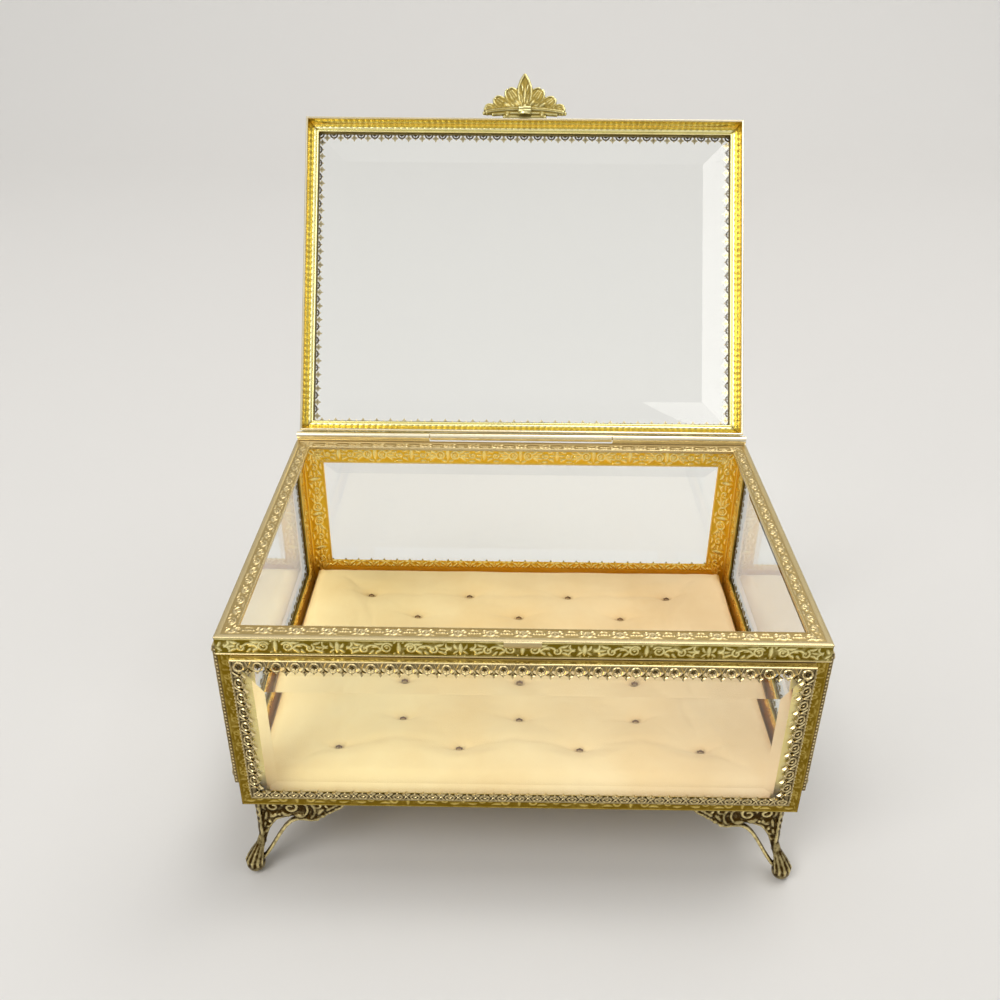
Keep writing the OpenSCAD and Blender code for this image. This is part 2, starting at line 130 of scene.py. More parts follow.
def wall(side):
    """Where a shape goes that is drawn against the front wall, with the wall's face at y = 0."""
    reach = body_d / 2 if side in ("front", "rear") else body_w / 2
    return BODY @ turn(TURNS[side], "Z") @ move(0, -reach, 0)


def rail(side):
    """The same for the four rails of the lid."""
    reach = (lid_back - lid_front) / 2 if side in ("front", "rear") else lid_w / 2
    return LID @ move(0, (lid_back + lid_front) / 2, 0) @ turn(TURNS[side], "Z") @ move(0, -reach, 0)


def wall_l(side):
    return body_w if side in ("front", "rear") else body_d


def rail_l(side):
    return lid_w if side in ("front", "rear") else lid_back - lid_front


def stood(name, data):
    """A new object that stands in the scene."""
    made = bpy.data.objects.new(name, data)
    scene.collection.objects.link(made)
    return made


# Camera, floor and light


def look():
    """The photograph's camera, solved from corners of the rim, the front face and the lid."""
    pitch, yaw, roll = (math.radians(a) for a in (29.82, 0.59, 0.39))
    swing = Matrix.Rotation(yaw, 3, "Z")
    ahead = swing @ Vector((0, math.cos(pitch), -math.sin(pitch)))
    level = swing @ Vector((1, 0, 0))
    across = math.cos(roll) * level + math.sin(roll) * level.cross(ahead)
    up = across.cross(ahead)
    camera = stood("camera", bpy.data.cameras.new("camera"))
    camera.data.sensor_width, camera.data.lens = 36, 36
    camera.data.clip_start = 0.01
    place = Matrix((across, up, -ahead)).transposed().to_4x4()
    place.translation = Vector((-4.45, mid_y - 291.6, under + 244.2)) * MM
    camera.matrix_world = place
    scene.camera = camera


look()
scene.view_settings.view_transform = "Standard"


def feed(tree, node, sockets):
    """Fills a node's sockets, each with a value or with a link from another node's output."""
    for name, value in sockets.items():
        if isinstance(value, bpy.types.NodeSocket):
            tree.links.new(value, node.inputs[name])
        else:
            node.inputs[name].default_value = value


def add(tree, kind, settings=(), sockets=(), **named):
    """A node with its settings and its sockets. In a socket's name an underscore is a space."""
    node = tree.nodes.new(kind)
    for name, value in dict(settings).items():
        setattr(node, name, value)
    feed(tree, node, dict(sockets))
    feed(tree, node, {name.replace("_", " "): value for name, value in named.items()})
    return node


def math_node(tree, operation, *values, clamp=False):
    settings = {"operation": operation, "use_clamp": clamp}
    return add(tree, "ShaderNodeMath", settings, dict(enumerate(values))).outputs[0]


def mixed(tree, share, a, b):
    """One shader where share is 0 and the other where it is 1."""
    return add(tree, "ShaderNodeMixShader", (), {0: share, 1: a.outputs[0], 2: b.outputs[0]})


def studio():
    """A pale floor that sweeps up behind the casket, two soft lamps and an even sky."""
    depth, rise, bend = 1.5, 1.6, 0.5
    line = [(-3.0, 0)] + [
        (depth - bend + bend * math.sin(a), bend - bend * math.cos(a))
        for a in np.linspace(0, math.pi / 2, 17)
    ] + [(depth, rise)]
    verts = [(x, y, z) for x in (-4, 4) for y, z in line]
    n = len(line)
    sweep = bpy.data.meshes.new("sweep")
    sweep.from_pydata(verts, [], [(i, n + i, n + i + 1, i + 1) for i in range(n - 1)])
    sweep.shade_smooth()
    floor = stood("floor", sweep)
    paper = bpy.data.materials.new("pale_paper")
    paper.use_nodes = True
    shader = paper.node_tree.nodes["Principled BSDF"]
    shader.inputs["Base Color"].default_value = (0.80, 0.79, 0.77, 1)
    shader.inputs["Roughness"].default_value = 0.75
    sweep.materials.append(paper)
    for name, at, size, power in (
        ("key_lamp", (-1.1, -1.2, 1.7), 1.3, 19), ("top_lamp", (0.7, 0.3, 2.2), 1.6, 19),
    ):
        lamp = bpy.data.lights.new(name, "AREA")
        lamp.shape, lamp.size, lamp.energy = "DISK", size, power
        lamp.color = (1, 0.975, 0.94)
        aim = Vector((0, -0.03, 0.08)) - Vector(at)
        stood(name, lamp).matrix_world = move(*at) @ aim.to_track_quat("-Z", "Y").to_matrix().to_4x4()
    world = bpy.data.worlds.new("sky")
    scene.world = world
    world.use_nodes = True
    tree = world.node_tree
    tree.nodes.clear()
    way = add(tree, "ShaderNodeTexCoord").outputs["Generated"]
    rising = add(tree, "ShaderNodeSeparateXYZ", Vector=way).outputs["Z"]
    ramp = add(tree, "ShaderNodeValToRGB", Fac=rising)
    dim, bright = ramp.color_ramp.elements
    dim.position, dim.color = 0.05, (0.40, 0.37, 0.33, 1)
    bright.position, bright.color = 0.75, (1, 1, 1, 1)
    soft = add(tree, "ShaderNodeBackground", Strength=0.52)
    seen = add(tree, "ShaderNodeBackground", Strength=1.0, Color=(0.92, 0.92, 0.91, 1))
    shown = add(tree, "ShaderNodeBackground", Strength=1.0, Color=ramp.outputs["Color"])
    ray = add(tree, "ShaderNodeLightPath").outputs
    clear = math_node(tree, "MAXIMUM", ray["Is Camera Ray"], ray["Is Transmission Ray"])
    sky = mixed(tree, clear, mixed(tree, ray["Is Glossy Ray"], soft, shown), seen)
    add(tree, "ShaderNodeOutputWorld", Surface=sky.outputs[0])


studio()

# Pressed patterns


class Relief:
    """A pressed pattern that repeats along a band, drawn once on a fine grid from strokes."""

    def __init__(self, length, height, strokes, mirrored=True, cell=0.07):
        self.length, self.height, self.mirrored = length, height, mirrored
        nx, nt = round(length / cell) + 1, round(height / cell) + 1
        x, t = np.meshgrid(np.linspace(0, length, nx), np.linspace(0, height, nt), indexing="ij")
        self.grid = np.zeros_like(x)
        for points, widths, top in strokes:
            for shift in (0,) if mirrored else (-length, 0, length):
                path = np.array(points, float) + (shift, 0)
                for a, b, wa, wb in zip(path, path[1:], widths, widths[1:]):
                    d = b - a
                    s = ((x - a[0]) * d[0] + (t - a[1]) * d[1]) / max(d @ d, 1e-9)
                    s = np.clip(s, 0, 1)
                    gap = np.hypot(x - a[0] - s * d[0], t - a[1] - s * d[1])
                    height_here = np.sqrt(np.clip(1 - (gap / (wa + (wb - wa) * s)) ** 2, 0, 1))
                    self.grid = np.maximum(self.grid, top * height_here)

    def fitted(self, reach, height):
        """The pattern with a whole number of repeats over a reach, as a function of place."""
        cycle = self.length * (2 if self.mirrored else 1)
        stretch = max(1, round(reach / (cycle * height / self.height))) * cycle / reach

        def at(x, t):
            x = np.mod(x * stretch, cycle)
            x = np.where(x > self.length, 2 * self.length - x, x)
            i = np.clip(x / self.length * (self.grid.shape[0] - 1), 0, self.grid.shape[0] - 1.001)
            j = np.clip(t / height, 0, 1) * (self.grid.shape[1] - 1.001)
            i, j = np.broadcast_arrays(i, j)
            i0, j0 = i.astype(int), j.astype(int)
            u, v, g = i - i0, j - j0, self.grid
            return ((1 - u) * (1 - v) * g[i0, j0] + u * (1 - v) * g[i0 + 1, j0]
                    + (1 - u) * v * g[i0, j0 + 1] + u * v * g[i0 + 1, j0 + 1])

        return at


def curl(x, t, r0, r1, a0, a1, w0, w1=None, top=1.0, n=20):
    """A scroll about (x, t): its radius and width change as its angle, in degrees, goes round."""
    s = np.linspace(0, 1, n)
    a, r = np.radians(a0 + (a1 - a0) * s), r0 + (r1 - r0) * s
    w1 = w0 if w1 is None else w1
    return np.stack([x + r * np.cos(a), t + r * np.sin(a)], 1), w0 + (w1 - w0) * s, top


def leaf(x0, t0, x1, t1, w, bend=0.0, top=0.9, n=9):
    """A pointed leaf between two places, bowed to its left by bend."""
    s = np.linspace(0, 1, n)
    bow = bend * np.sin(np.pi * s)
    long = math.hypot(x1 - x0, t1 - t0)
    x = x0 + (x1 - x0) * s - bow * (t1 - t0) / long
    t = t0 + (t1 - t0) * s + bow * (x1 - x0) / long
    return np.stack([x, t], 1), np.maximum(w * np.sin(np.pi * (0.12 + 0.86 * s)), 0.05), top


def dot(x, t, r, top=1.0):
    return [(x - 0.01, t), (x + 0.01, t)], [r, r], top


def edges(length, height, w=0.28, top=0.85):
    """The bright lines along both edges of a band."""
    return [([(-1, t), (length + 1, t)], [w, w], top) for t in (0.1, height - 0.1)]


ACANTHUS = Relief(18.5, 5.4, edges(18.5, 5.4) + [
    curl(3.6, 2.55, 1.75, 0.75, -150, 330, 0.34, 0.24), dot(3.6, 2.55, 0.42),
    leaf(0, 0.75, 0, 4.7, 0.62), dot(1.35, 4.55, 0.32), dot(1.3, 0.75, 0.3),
    leaf(4.6, 1.0, 7.4, 0.85, 0.5, 0.3), leaf(5.3, 3.4, 7.0, 4.75, 0.5, -0.25),
    curl(8.2, 4.4, 3.1, 2.5, 205, 300, 0.3, 0.36), curl(10.3, 3.0, 1.35, 0.5, -60, 280, 0.32, 0.26),
    dot(10.35, 3.0, 0.3), leaf(7.7, 3.4, 9.0, 4.7, 0.42, 0.2), leaf(6.5, 2.3, 8.2, 2.6, 0.36, -0.2),
    leaf(11.4, 1.5, 13.6, 0.75, 0.5, 0.3), leaf(11.9, 3.6, 13.9, 4.7, 0.5, -0.25),
    leaf(12.2, 2.5, 14.6, 2.6, 0.42, 0.15), curl(15.2, 3.9, 1.3, 1.0, 150, 285, 0.26, 0.3),
    curl(15.2, 1.5, 1.2, 0.9, 210, 70, 0.26, 0.3), leaf(16.6, 1.2, 17.7, 2.9, 0.46, 0.2),
    leaf(16.4, 4.3, 17.8, 3.1, 0.4), leaf(18.5, 0.9, 18.5, 4.6, 0.75), dot(17.2, 4.7, 0.26),
    dot(14.9, 2.65, 0.3),
])
FLOURISH = Relief(4.125, 3.4, [
    curl(0, 1.75, 1.0, 0.95, 15, 165, 0.3), curl(0, 1.75, 0.95, 0.9, 195, 345, 0.26),
    leaf(0, 0.95, 0, 2.5, 0.42), curl(1.5, 1.15, 0.62, 0.3, 190, 470, 0.24, 0.16),
    leaf(1.0, 2.2, 2.3, 2.75, 0.3, 0.15), dot(2.75, 1.75, 0.32), dot(3.45, 1.75, 0.27),
    dot(4.125, 1.75, 0.34), leaf(3.1, 0.75, 4.125, 0.55, 0.2),
])
VINE = Relief(9.0, 3.4, [
    curl(2.25, 2.5, 1.55, 1.55, 205, 335, 0.26), curl(6.75, 0.9, 1.55, 1.55, 155, 25, 0.26),
    curl(2.25, 2.05, 0.75, 0.25, -60, 300, 0.24, 0.18), curl(6.75, 1.35, 0.75, 0.25, 60, -300, 0.24, 0.18),
    leaf(0.2, 2.6, 1.3, 3.0, 0.3), leaf(3.4, 0.6, 4.6, 0.45, 0.3), leaf(4.3, 0.8, 5.3, 0.35, 0.28),
    leaf(7.9, 2.7, 9.1, 2.95, 0.3), dot(0.3, 0.8, 0.26), dot(4.8, 2.6, 0.26), dot(8.6, 0.7, 0.2),
], mirrored=False)
SCROLLS = Relief(11.0, 3.4, edges(11, 3.4, 0.2, 0.6) + [
    curl(2.6, 1.7, 1.1, 0.3, 160, -300, 0.26, 0.18, 0.8), leaf(0, 0.7, 0, 2.7, 0.36, 0, 0.7),
    leaf(3.6, 0.9, 5.6, 0.8, 0.3, 0.25, 0.8), leaf(3.7, 2.5, 5.4, 2.7, 0.28, -0.2, 0.7),
    curl(7.4, 1.9, 1.0, 0.3, 20, 400, 0.24, 0.16, 0.8), leaf(5.2, 1.7, 6.3, 1.75, 0.24, 0, 0.7),
    leaf(8.4, 1.1, 10.2, 1.3, 0.28, -0.2, 0.7), dot(11, 1.7, 0.34, 0.8), dot(9.7, 2.4, 0.2, 0.7),
])
BROCADE = Relief(14.0, 7.4, edges(14, 7.4, 0.3, 0.7) + [
    curl(2.9, 3.7, 1.5, 1.5, 0, 360, 0.36), curl(2.9, 3.7, 0.8, 0.2, 90, 450, 0.3, 0.24),
    leaf(0, 1.4, 0, 6.0, 0.8), leaf(0.5, 6.4, 2.4, 5.8, 0.5), leaf(0.5, 0.9, 2.4, 1.5, 0.5),
    leaf(4.4, 3.0, 6.6, 1.2, 0.62, 0.3), leaf(4.6, 4.4, 6.8, 6.2, 0.62, -0.3),
    leaf(5.0, 3.7, 7.6, 3.6, 0.55, 0.2), leaf(6.2, 2.8, 8.6, 2.2, 0.5, 0.25),
    leaf(6.3, 4.7, 8.5, 5.3, 0.5, -0.2), curl(9.6, 3.8, 1.25, 0.4, 200, -160, 0.34, 0.26),
    dot(9.6, 3.8, 0.34), leaf(8.3, 1.2, 10.6, 0.95, 0.46, 0.2), leaf(8.4, 6.3, 10.6, 6.4, 0.46, -0.2),
    leaf(10.6, 2.4, 12.8, 1.3, 0.56, 0.25), leaf(10.8, 5.0, 12.8, 6.2, 0.56, -0.25),
    leaf(11.3, 3.7, 13.3, 3.7, 0.44), leaf(14, 1.6, 14, 5.8, 0.85), dot(12.6, 2.6, 0.3),
    dot(12.6, 4.8, 0.3), dot(7.6, 6.6, 0.26), dot(7.6, 0.9, 0.26),
])
LEAFAGE = Relief(5.0, 3.4, [
    leaf(0.1, 0.5, 2.2, 2.6, 0.5, 0.3), leaf(2.6, 0.5, 4.9, 2.6, 0.5, -0.3), leaf(0, 1.6, 0, 3.2, 0.4),
    dot(2.4, 2.9, 0.3), leaf(3.0, 2.9, 5.0, 2.9, 0.3), dot(5.0, 0.7, 0.36), leaf(1.2, 0.5, 2.4, 1.4, 0.3),
])
DASHES = Relief(0.8, 1.0, [([(0, 0.5), (0.2, 0.5)], [0.24, 0.2], 0.6)])
RIPPLE = Relief(0.75, 1.0, [([(0, -0.2), (0, 1.2)], [0.6, 0.6], 0.4)])

# Shells


def bands(count, sides, flip=False):
    """The faces between rings of points that follow one another."""
    faces = [(r * sides + k, r * sides + (k + 1) % sides, (r + 1) * sides + (k + 1) % sides,
              (r + 1) * sides + k) for r in range(count - 1) for k in range(sides)]
    return [(a, d, c, b) for a, b, c, d in faces] if flip else faces


def fan(tip, first, sides, flip=False):
    """The faces between a tip and a ring of points."""
    return [(tip, first + (k + flip) % sides, first + (k + 1 - flip) % sides) for k in range(sides)]


def squares(g):
    """The faces of a grid of numbered points."""
    return np.stack([g[:-1, :-1], g[1:, :-1], g[1:, 1:], g[:-1, 1:]], -1).reshape(-1, 4).tolist()


class Shell:
    """Loose closed shapes that become one mesh: points in millimetres, faces, and a mark that
    tells raised metal (1) from sunk ground (0)."""

    def __init__(self):
        self.points, self.faces, self.marks, self.parts, self.count = [], [], [], [], 0

    def take(self, points, faces, marks=0.7, place=None, parts=0):
        points = np.asarray(points, float)
        tri = [(f[0], f[i], f[i + 1]) for f in faces for i in range(1, len(f) - 1)]
        a, b, c = (points[[t[k] for t in tri]] for k in range(3))
        inward = np.einsum("ij,ij->", a - points[0], np.cross(b - points[0], c - points[0])) < 0
        if place is not None:
            m = np.array(place)
            points = points @ m[:3, :3].T + m[:3, 3]
            inward ^= bool(np.linalg.det(m[:3, :3]) < 0)
        step = self.count
        self.faces += [tuple(i + step for i in (f[::-1] if inward else f)) for f in faces]
        self.points.append(points)
        self.marks.append(np.broadcast_to(marks, len(points)))
        self.parts.append(np.broadcast_to(parts, len(faces)))
        self.count += len(points)

    def mesh(self, name):
        mesh = bpy.data.meshes.new(name)
        mesh.from_pydata((np.concatenate(self.points) * MM).tolist(), [], self.faces)
        mark = mesh.attributes.new("raised", "FLOAT", "POINT")
        mark.data.foreach_set("value", np.concatenate(self.marks).astype(np.float32))
        mesh.polygons.foreach_set("material_index", np.concatenate(self.parts).astype(np.int32))
        return mesh


def placed(name, shape, finish, body, *nodes, slot=None, sharp=35):
    """The object of a shell or a finished mesh: smooth but for its sharp edges, riding on its body.
    A shape with several finishes has the second on its faces of part 1, and so on."""
    mesh = shape.mesh(name) if isinstance(shape, Shell) else shape
    mesh.polygons.foreach_set("use_smooth", np.ones(len(mesh.polygons), bool))
    mesh.set_sharp_from_angle(angle=math.radians(sharp))
    if not mesh.materials:
        for one in finish if isinstance(finish, tuple) else (finish,):
            mesh.materials.append(one)
    piece = stood(name, mesh)
    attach(piece, body)
    if nodes:
        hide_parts(*nodes)
    return piece


def run(*points, cuts=1, pattern=None, depth=0.0, shine=0.75, part=0):
    """A stretch of a moulding's outline through some (y, z) points, cut into short steps."""
    line = []
    for a, b in zip(points, points[1:]):
        line += [np.array(a) + (np.array(b) - a) * i / cuts for i in range(cuts)]
    return line + [np.array(points[-1])], pattern, depth, shine, part


def bow(a, b, rise, cuts=6, **more):
    """A stretch from a to b that bows out to its right by rise."""
    a, b = np.array(a, float), np.array(b, float)
    side = np.array([b[1] - a[1], a[0] - b[0]]) / np.hypot(*(b - a))
    line = [a + (b - a) * s + side * rise * 4 * s * (1 - s) for s in np.linspace(0, 1, cuts + 1)]
    return run(*line, **more)


def moulding(shell, place, half, stretches, step=0.3, mitre=1.0):
    """Sweeps a closed outline of (y, z) stretches along a wall, with mitred and closed ends, and
    presses each stretch's pattern into it."""
    rows, kinds = [], []
    for k, (line, pattern, depth, shine, part) in enumerate(stretches):
        along = 0.0
        for p, q in zip(line, line[1:]):
            rows.append((p[0], p[1], along, shine))
            kinds.append(k)
            along += float(np.hypot(*(q - p)))
    y, z, t, shine = np.array(rows).T
    kinds = np.array(kinds)
    round_way = np.sign(np.sum(y * np.roll(z, -1) - np.roll(y, -1) * z))
    dy, dz = np.roll(y, -1) - np.roll(y, 1), np.roll(z, -1) - np.roll(z, 1)
    size = np.maximum(np.hypot(dy, dz), 1e-9) * round_way
    u = np.linspace(-1, 1, max(2, int(2 * half / step) + 1))[:, None]
    lift, marks = np.zeros((len(u), len(y))), np.tile(shine, (len(u), 1))
    fade = np.clip((1 - np.abs(u)) * half / 0.6, 0, 1)
    for k, (line, pattern, depth, *_) in enumerate(stretches):
        if pattern:
            on = kinds == k
            value = pattern(u * (half - mitre * y[on]), t[on][None, :]) * fade
            lift[:, on], marks[:, on] = depth * value, value ** 1.3
    py, pz = y + dz / size * lift, z - dy / size * lift
    points = np.stack([u * (half - mitre * py), py, pz], -1).reshape(-1, 3)
    n, m = len(u), len(y)
    faces = bands(n, m, True) + [tuple(range(m)), tuple(range(n * m - 1, (n - 1) * m - 1, -1))]
    parts = np.tile(np.array([stretches[k][4] for k in kinds]), n - 1)
    shell.take(points, faces, marks.reshape(-1), place, np.concatenate([parts, [0, 0]]))


def pressed_sheet(shell, place, outer, inner, face, back, pattern, depth, step=0.3, shine=1.0):
    """A strip of sheet in a wall's plane between an outer and an inner edge, each a pair of
    (x, z) points. Its pattern stands out from face, away from back."""
    (o0, o1), (i0, i1) = np.array(outer, float), np.array(inner, float)
    wide = np.hypot(*((i0 + i1) / 2 - (o0 + o1) / 2))
    long = np.hypot(*(o1 - o0))
    na, nb = max(2, int(long / step) + 1), max(2, int(wide / step) + 1)
    a, b = np.linspace(0, 1, na)[:, None, None], np.linspace(0, 1, nb)[None, :, None]
    flat = (1 - b) * (o0 + (o1 - o0) * a) + b * (i0 + (i1 - i0) * a)
    inner_long = np.hypot(*(i1 - i0))
    here = (a[..., 0] - 0.5) * (long + (inner_long - long) * b[..., 0])
    across = b[..., 0] * wide
    border = np.minimum(np.minimum(a, 1 - a)[..., 0] * inner_long, np.minimum(b, 1 - b)[..., 0] * wide)
    value = pattern(here, np.broadcast_to(across, here.shape)) * np.clip(border / 0.3, 0, 1)
    out = math.copysign(1, face - back)
    front = np.stack([flat[..., 0], face + out * depth * value, flat[..., 1]], -1).reshape(-1, 3)
    rear = np.array([[p[0], back, p[1]] for p in (o0, o1, i1, i0)])
    c = na * nb
    g = np.arange(c).reshape(na, nb)
    faces = [tuple(q) for q in squares(g)] + [
        (c, c + 3, c + 2, c + 1),
        tuple(g[::-1, 0].tolist()) + (c, c + 1), tuple(g[-1, ::-1].tolist()) + (c + 1, c + 2),
        tuple(g[:, -1].tolist()) + (c + 2, c + 3), tuple(g[0, :].tolist()) + (c + 3, c),
    ]
    marks = np.concatenate([shine * value.reshape(-1) ** 1.3, np.full(4, 0.5)])
    shell.take(np.concatenate([front, rear]), faces, marks, place)


def tube(shell, line, radii, sides=8, place=None, mark=0.7, squash=1.0):
    """A round bar along a line of points with a radius at each, closed at both ends."""
    line = np.asarray(line, float)
    radii = np.broadcast_to(radii, len(line)).astype(float)
    ahead = np.gradient(line, axis=0)
    ahead /= np.linalg.norm(ahead, axis=1)[:, None]
    base = np.array([0.0, 1.0, 0.0]) if abs(ahead[0][1]) < 0.9 else np.array([1.0, 0.0, 0.0])
    one = base - ahead * (ahead @ base)[:, None]
    one /= np.linalg.norm(one, axis=1)[:, None]
    two = np.cross(ahead, one)
    a = np.linspace(0, 2 * math.pi, sides, endpoint=False)
    rings = line[:, None] + radii[:, None, None] * (
        squash * np.cos(a)[None, :, None] * one[:, None] + np.sin(a)[None, :, None] * two[:, None])
    n = len(line)
    ends = np.array([line[0] - ahead[0] * radii[0] * 0.6, line[-1] + ahead[-1] * radii[-1] * 0.6])
    c = n * sides
    faces = bands(n, sides, True) + fan(c, 0, sides) + fan(c + 1, c - sides, sides, True)
    shell.take(np.concatenate([rings.reshape(-1, 3), ends]), faces, mark, place)


def ball(shell, at, r, place=None, mark=0.8, sides=10, rings=6):
    """A bead."""
    lat = np.linspace(-math.pi / 2, math.pi / 2, rings + 1)[1:-1]
    a = np.linspace(0, 2 * math.pi, sides, endpoint=False)
    points = [[math.cos(v) * math.cos(u), math.cos(v) * math.sin(u), math.sin(v)] for v in lat for u in a]
    points += [[0, 0, -1], [0, 0, 1]]
    c = len(lat) * sides
    faces = bands(len(lat), sides) + fan(c, 0, sides, True) + fan(c + 1, c - sides, sides)
    shell.take(np.array(points) * r + np.array(at), faces, mark, place)


# Finishes


def blend_colour(tree, share, a, b):
    return add(tree, "ShaderNodeMix", {"data_type": "RGBA"}, {0: share, 6: a, 7: b}).outputs[2]


def noise(tree, place, scale, detail, **more):
    found = add(tree, "ShaderNodeTexNoise", Vector=place, Scale=scale, Detail=detail, **more)
    return found.outputs["Fac"]


def spread(tree, value, low, high, top=1.0):
    """A value between low and high, spread from 0 to top."""
    drawn = add(tree, "ShaderNodeMapRange", Value=value, From_Min=low, From_Max=high, To_Max=top)
    return drawn.outputs["Result"]


def bumps(tree, height, strength, distance):
    return add(tree, "ShaderNodeBump", Height=height, Strength=strength, Distance=distance).outputs["Normal"]


def patina_group():
    """Old gilding: bright where it is raised and rubbed, brown in the ground, cloudy all over."""
    tree = bpy.data.node_groups.new("patina", "ShaderNodeTree")
    for name, kind, way in (
        ("Bright", "Color", "INPUT"), ("Dark", "Color", "INPUT"), ("Raised", "Float", "INPUT"),
        ("Clouding", "Float", "INPUT"), ("Cloud Scale", "Float", "INPUT"), ("Grain Scale", "Float", "INPUT"),
        ("Smooth", "Float", "INPUT"), ("Dull", "Float", "INPUT"),
        ("Color", "Color", "OUTPUT"), ("Roughness", "Float", "OUTPUT"), ("Height", "Float", "OUTPUT"),
    ):
        tree.interface.new_socket(name, in_out=way, socket_type="NodeSocket" + kind)
    given, out = tree.nodes.new("NodeGroupInput").outputs, tree.nodes.new("NodeGroupOutput")
    place = add(tree, "ShaderNodeTexCoord").outputs["Object"]
    clouds = noise(tree, place, given["Cloud Scale"], 4.0, Roughness=0.6)
    grain = noise(tree, place, given["Grain Scale"], 3.0)
    shift = math_node(tree, "MULTIPLY", math_node(tree, "SUBTRACT", clouds, 0.5), given["Clouding"])
    speck = math_node(tree, "MULTIPLY", math_node(tree, "SUBTRACT", grain, 0.5), 0.35)
    rub = math_node(tree, "POWER", given["Raised"], 0.8)
    share = math_node(tree, "ADD", math_node(tree, "ADD", rub, shift), speck, clamp=True)
    span = math_node(tree, "SUBTRACT", given["Smooth"], given["Dull"])
    rough = math_node(tree, "MULTIPLY_ADD", share, span, given["Dull"])
    feed(tree, out, {
        "Color": blend_colour(tree, share, given["Dark"], given["Bright"]),
        "Roughness": math_node(tree, "MULTIPLY_ADD", speck, 0.2, rough, clamp=True),
        "Height": math_node(tree, "MULTIPLY_ADD", clouds, 0.6, grain),
    })
    return tree


PATINA = patina_group()


def material(name):
    made = bpy.data.materials.new(name)
    made.use_nodes = True
    return made, made.node_tree, made.node_tree.nodes["Principled BSDF"]


def gilding(name, bright, dark, raised=None, clouding=0.4, cloud=120.0, smooth=0.2, dull=0.45):
    """A gilt finish. It follows the pressed relief, or is the same all over where raised is given."""
    made, tree, shader = material(name)
    if raised is None:
        raised = add(tree, "ShaderNodeAttribute", {"attribute_name": "raised"}).outputs["Fac"]
    patina = add(tree, "ShaderNodeGroup", {"node_tree": PATINA}, Bright=(*bright, 1), Dark=(*dark, 1),
                 Raised=raised, Clouding=clouding, Cloud_Scale=cloud, Grain_Scale=2500.0, Smooth=smooth,
                 Dull=dull).outputs
    feed(tree, shader, {"Base Color": patina["Color"], "Roughness": patina["Roughness"], "Metallic": 1.0,
                        "Normal": bumps(tree, patina["Height"], 0.12, 0.0001)})
    return made


# The strong, fine clouding here gives bright and dull patches that are painted glints.
GILT_SKIRT = gilding("gilt_skirt", (0.92, 0.82, 0.38), (0.20, 0.14, 0.010), clouding=1.3, cloud=330.0,
                     smooth=0.18, dull=0.45)
GILT_RIM = gilding("gilt_rim", (0.70, 0.575, 0.32), (0.43, 0.32, 0.13), smooth=0.25, dull=0.48)
GILT_BAND = gilding("gilt_band", (0.86, 0.66, 0.18), (0.22, 0.135, 0.006), clouding=0.8, cloud=300.0,
                    smooth=0.22, dull=0.42)
GILT_LINER = gilding("gilt_liner", (1.0, 0.90, 0.42), (0.86, 0.56, 0.05), smooth=0.2, dull=0.38)
# Its near-black dark colour is partly painted shade, which the lace's ground and side strips are drawn with.
GILT_LACE = gilding("gilt_lace", (0.86, 0.70, 0.36), (0.05, 0.028, 0.006), smooth=0.18, dull=0.42)
GILT_LID = gilding("gilt_lid", (0.97, 0.80, 0.23), (0.44, 0.27, 0.014), smooth=0.18, dull=0.34)
# The strong, fine clouding here gives small bright patches that are painted glints.
GILT_FOOT = gilding("gilt_foot", (1.0, 0.84, 0.40), (0.055, 0.028, 0.004), clouding=1.0, cloud=700.0,
                    smooth=0.15, dull=0.45)
GILT_LIFT = gilding("gilt_lift", (1.0, 0.94, 0.50), (0.22, 0.16, 0.035), smooth=0.18, dull=0.42)
HINGE_BRASS = gilding("hinge_brass", (0.96, 0.88, 0.64), (0.42, 0.3, 0.12), raised=0.85, cloud=60,
                      smooth=0.16, dull=0.36)
PLAIN_BRASS = gilding("plain_brass", (0.62, 0.45, 0.14), (0.2, 0.12, 0.02), raised=0.5, clouding=0.7)


def glass():
    """Clear plate glass, a little smudged. Lamps shine through it."""
    made, tree, shader = material("bevelled_plate")
    place = add(tree, "ShaderNodeTexCoord").outputs["Object"]
    film = spread(tree, noise(tree, place, 35.0, 5.0, Roughness=0.65), 0.5, 0.85, 0.05)
    feed(tree, shader, {"Base Color": (0.975, 0.99, 0.98, 1), "Transmission Weight": 1.0, "IOR": 1.5,
                        "Metallic": 0.0, "Roughness": film})
    through = add(tree, "ShaderNodeBsdfTransparent", Color=(0.96, 0.97, 0.965, 1))
    shadow = add(tree, "ShaderNodeLightPath").outputs["Is Shadow Ray"]
    seen = mixed(tree, shadow, shader, through)
    feed(tree, tree.nodes["Material Output"], {"Surface": seen.outputs[0]})
    return made


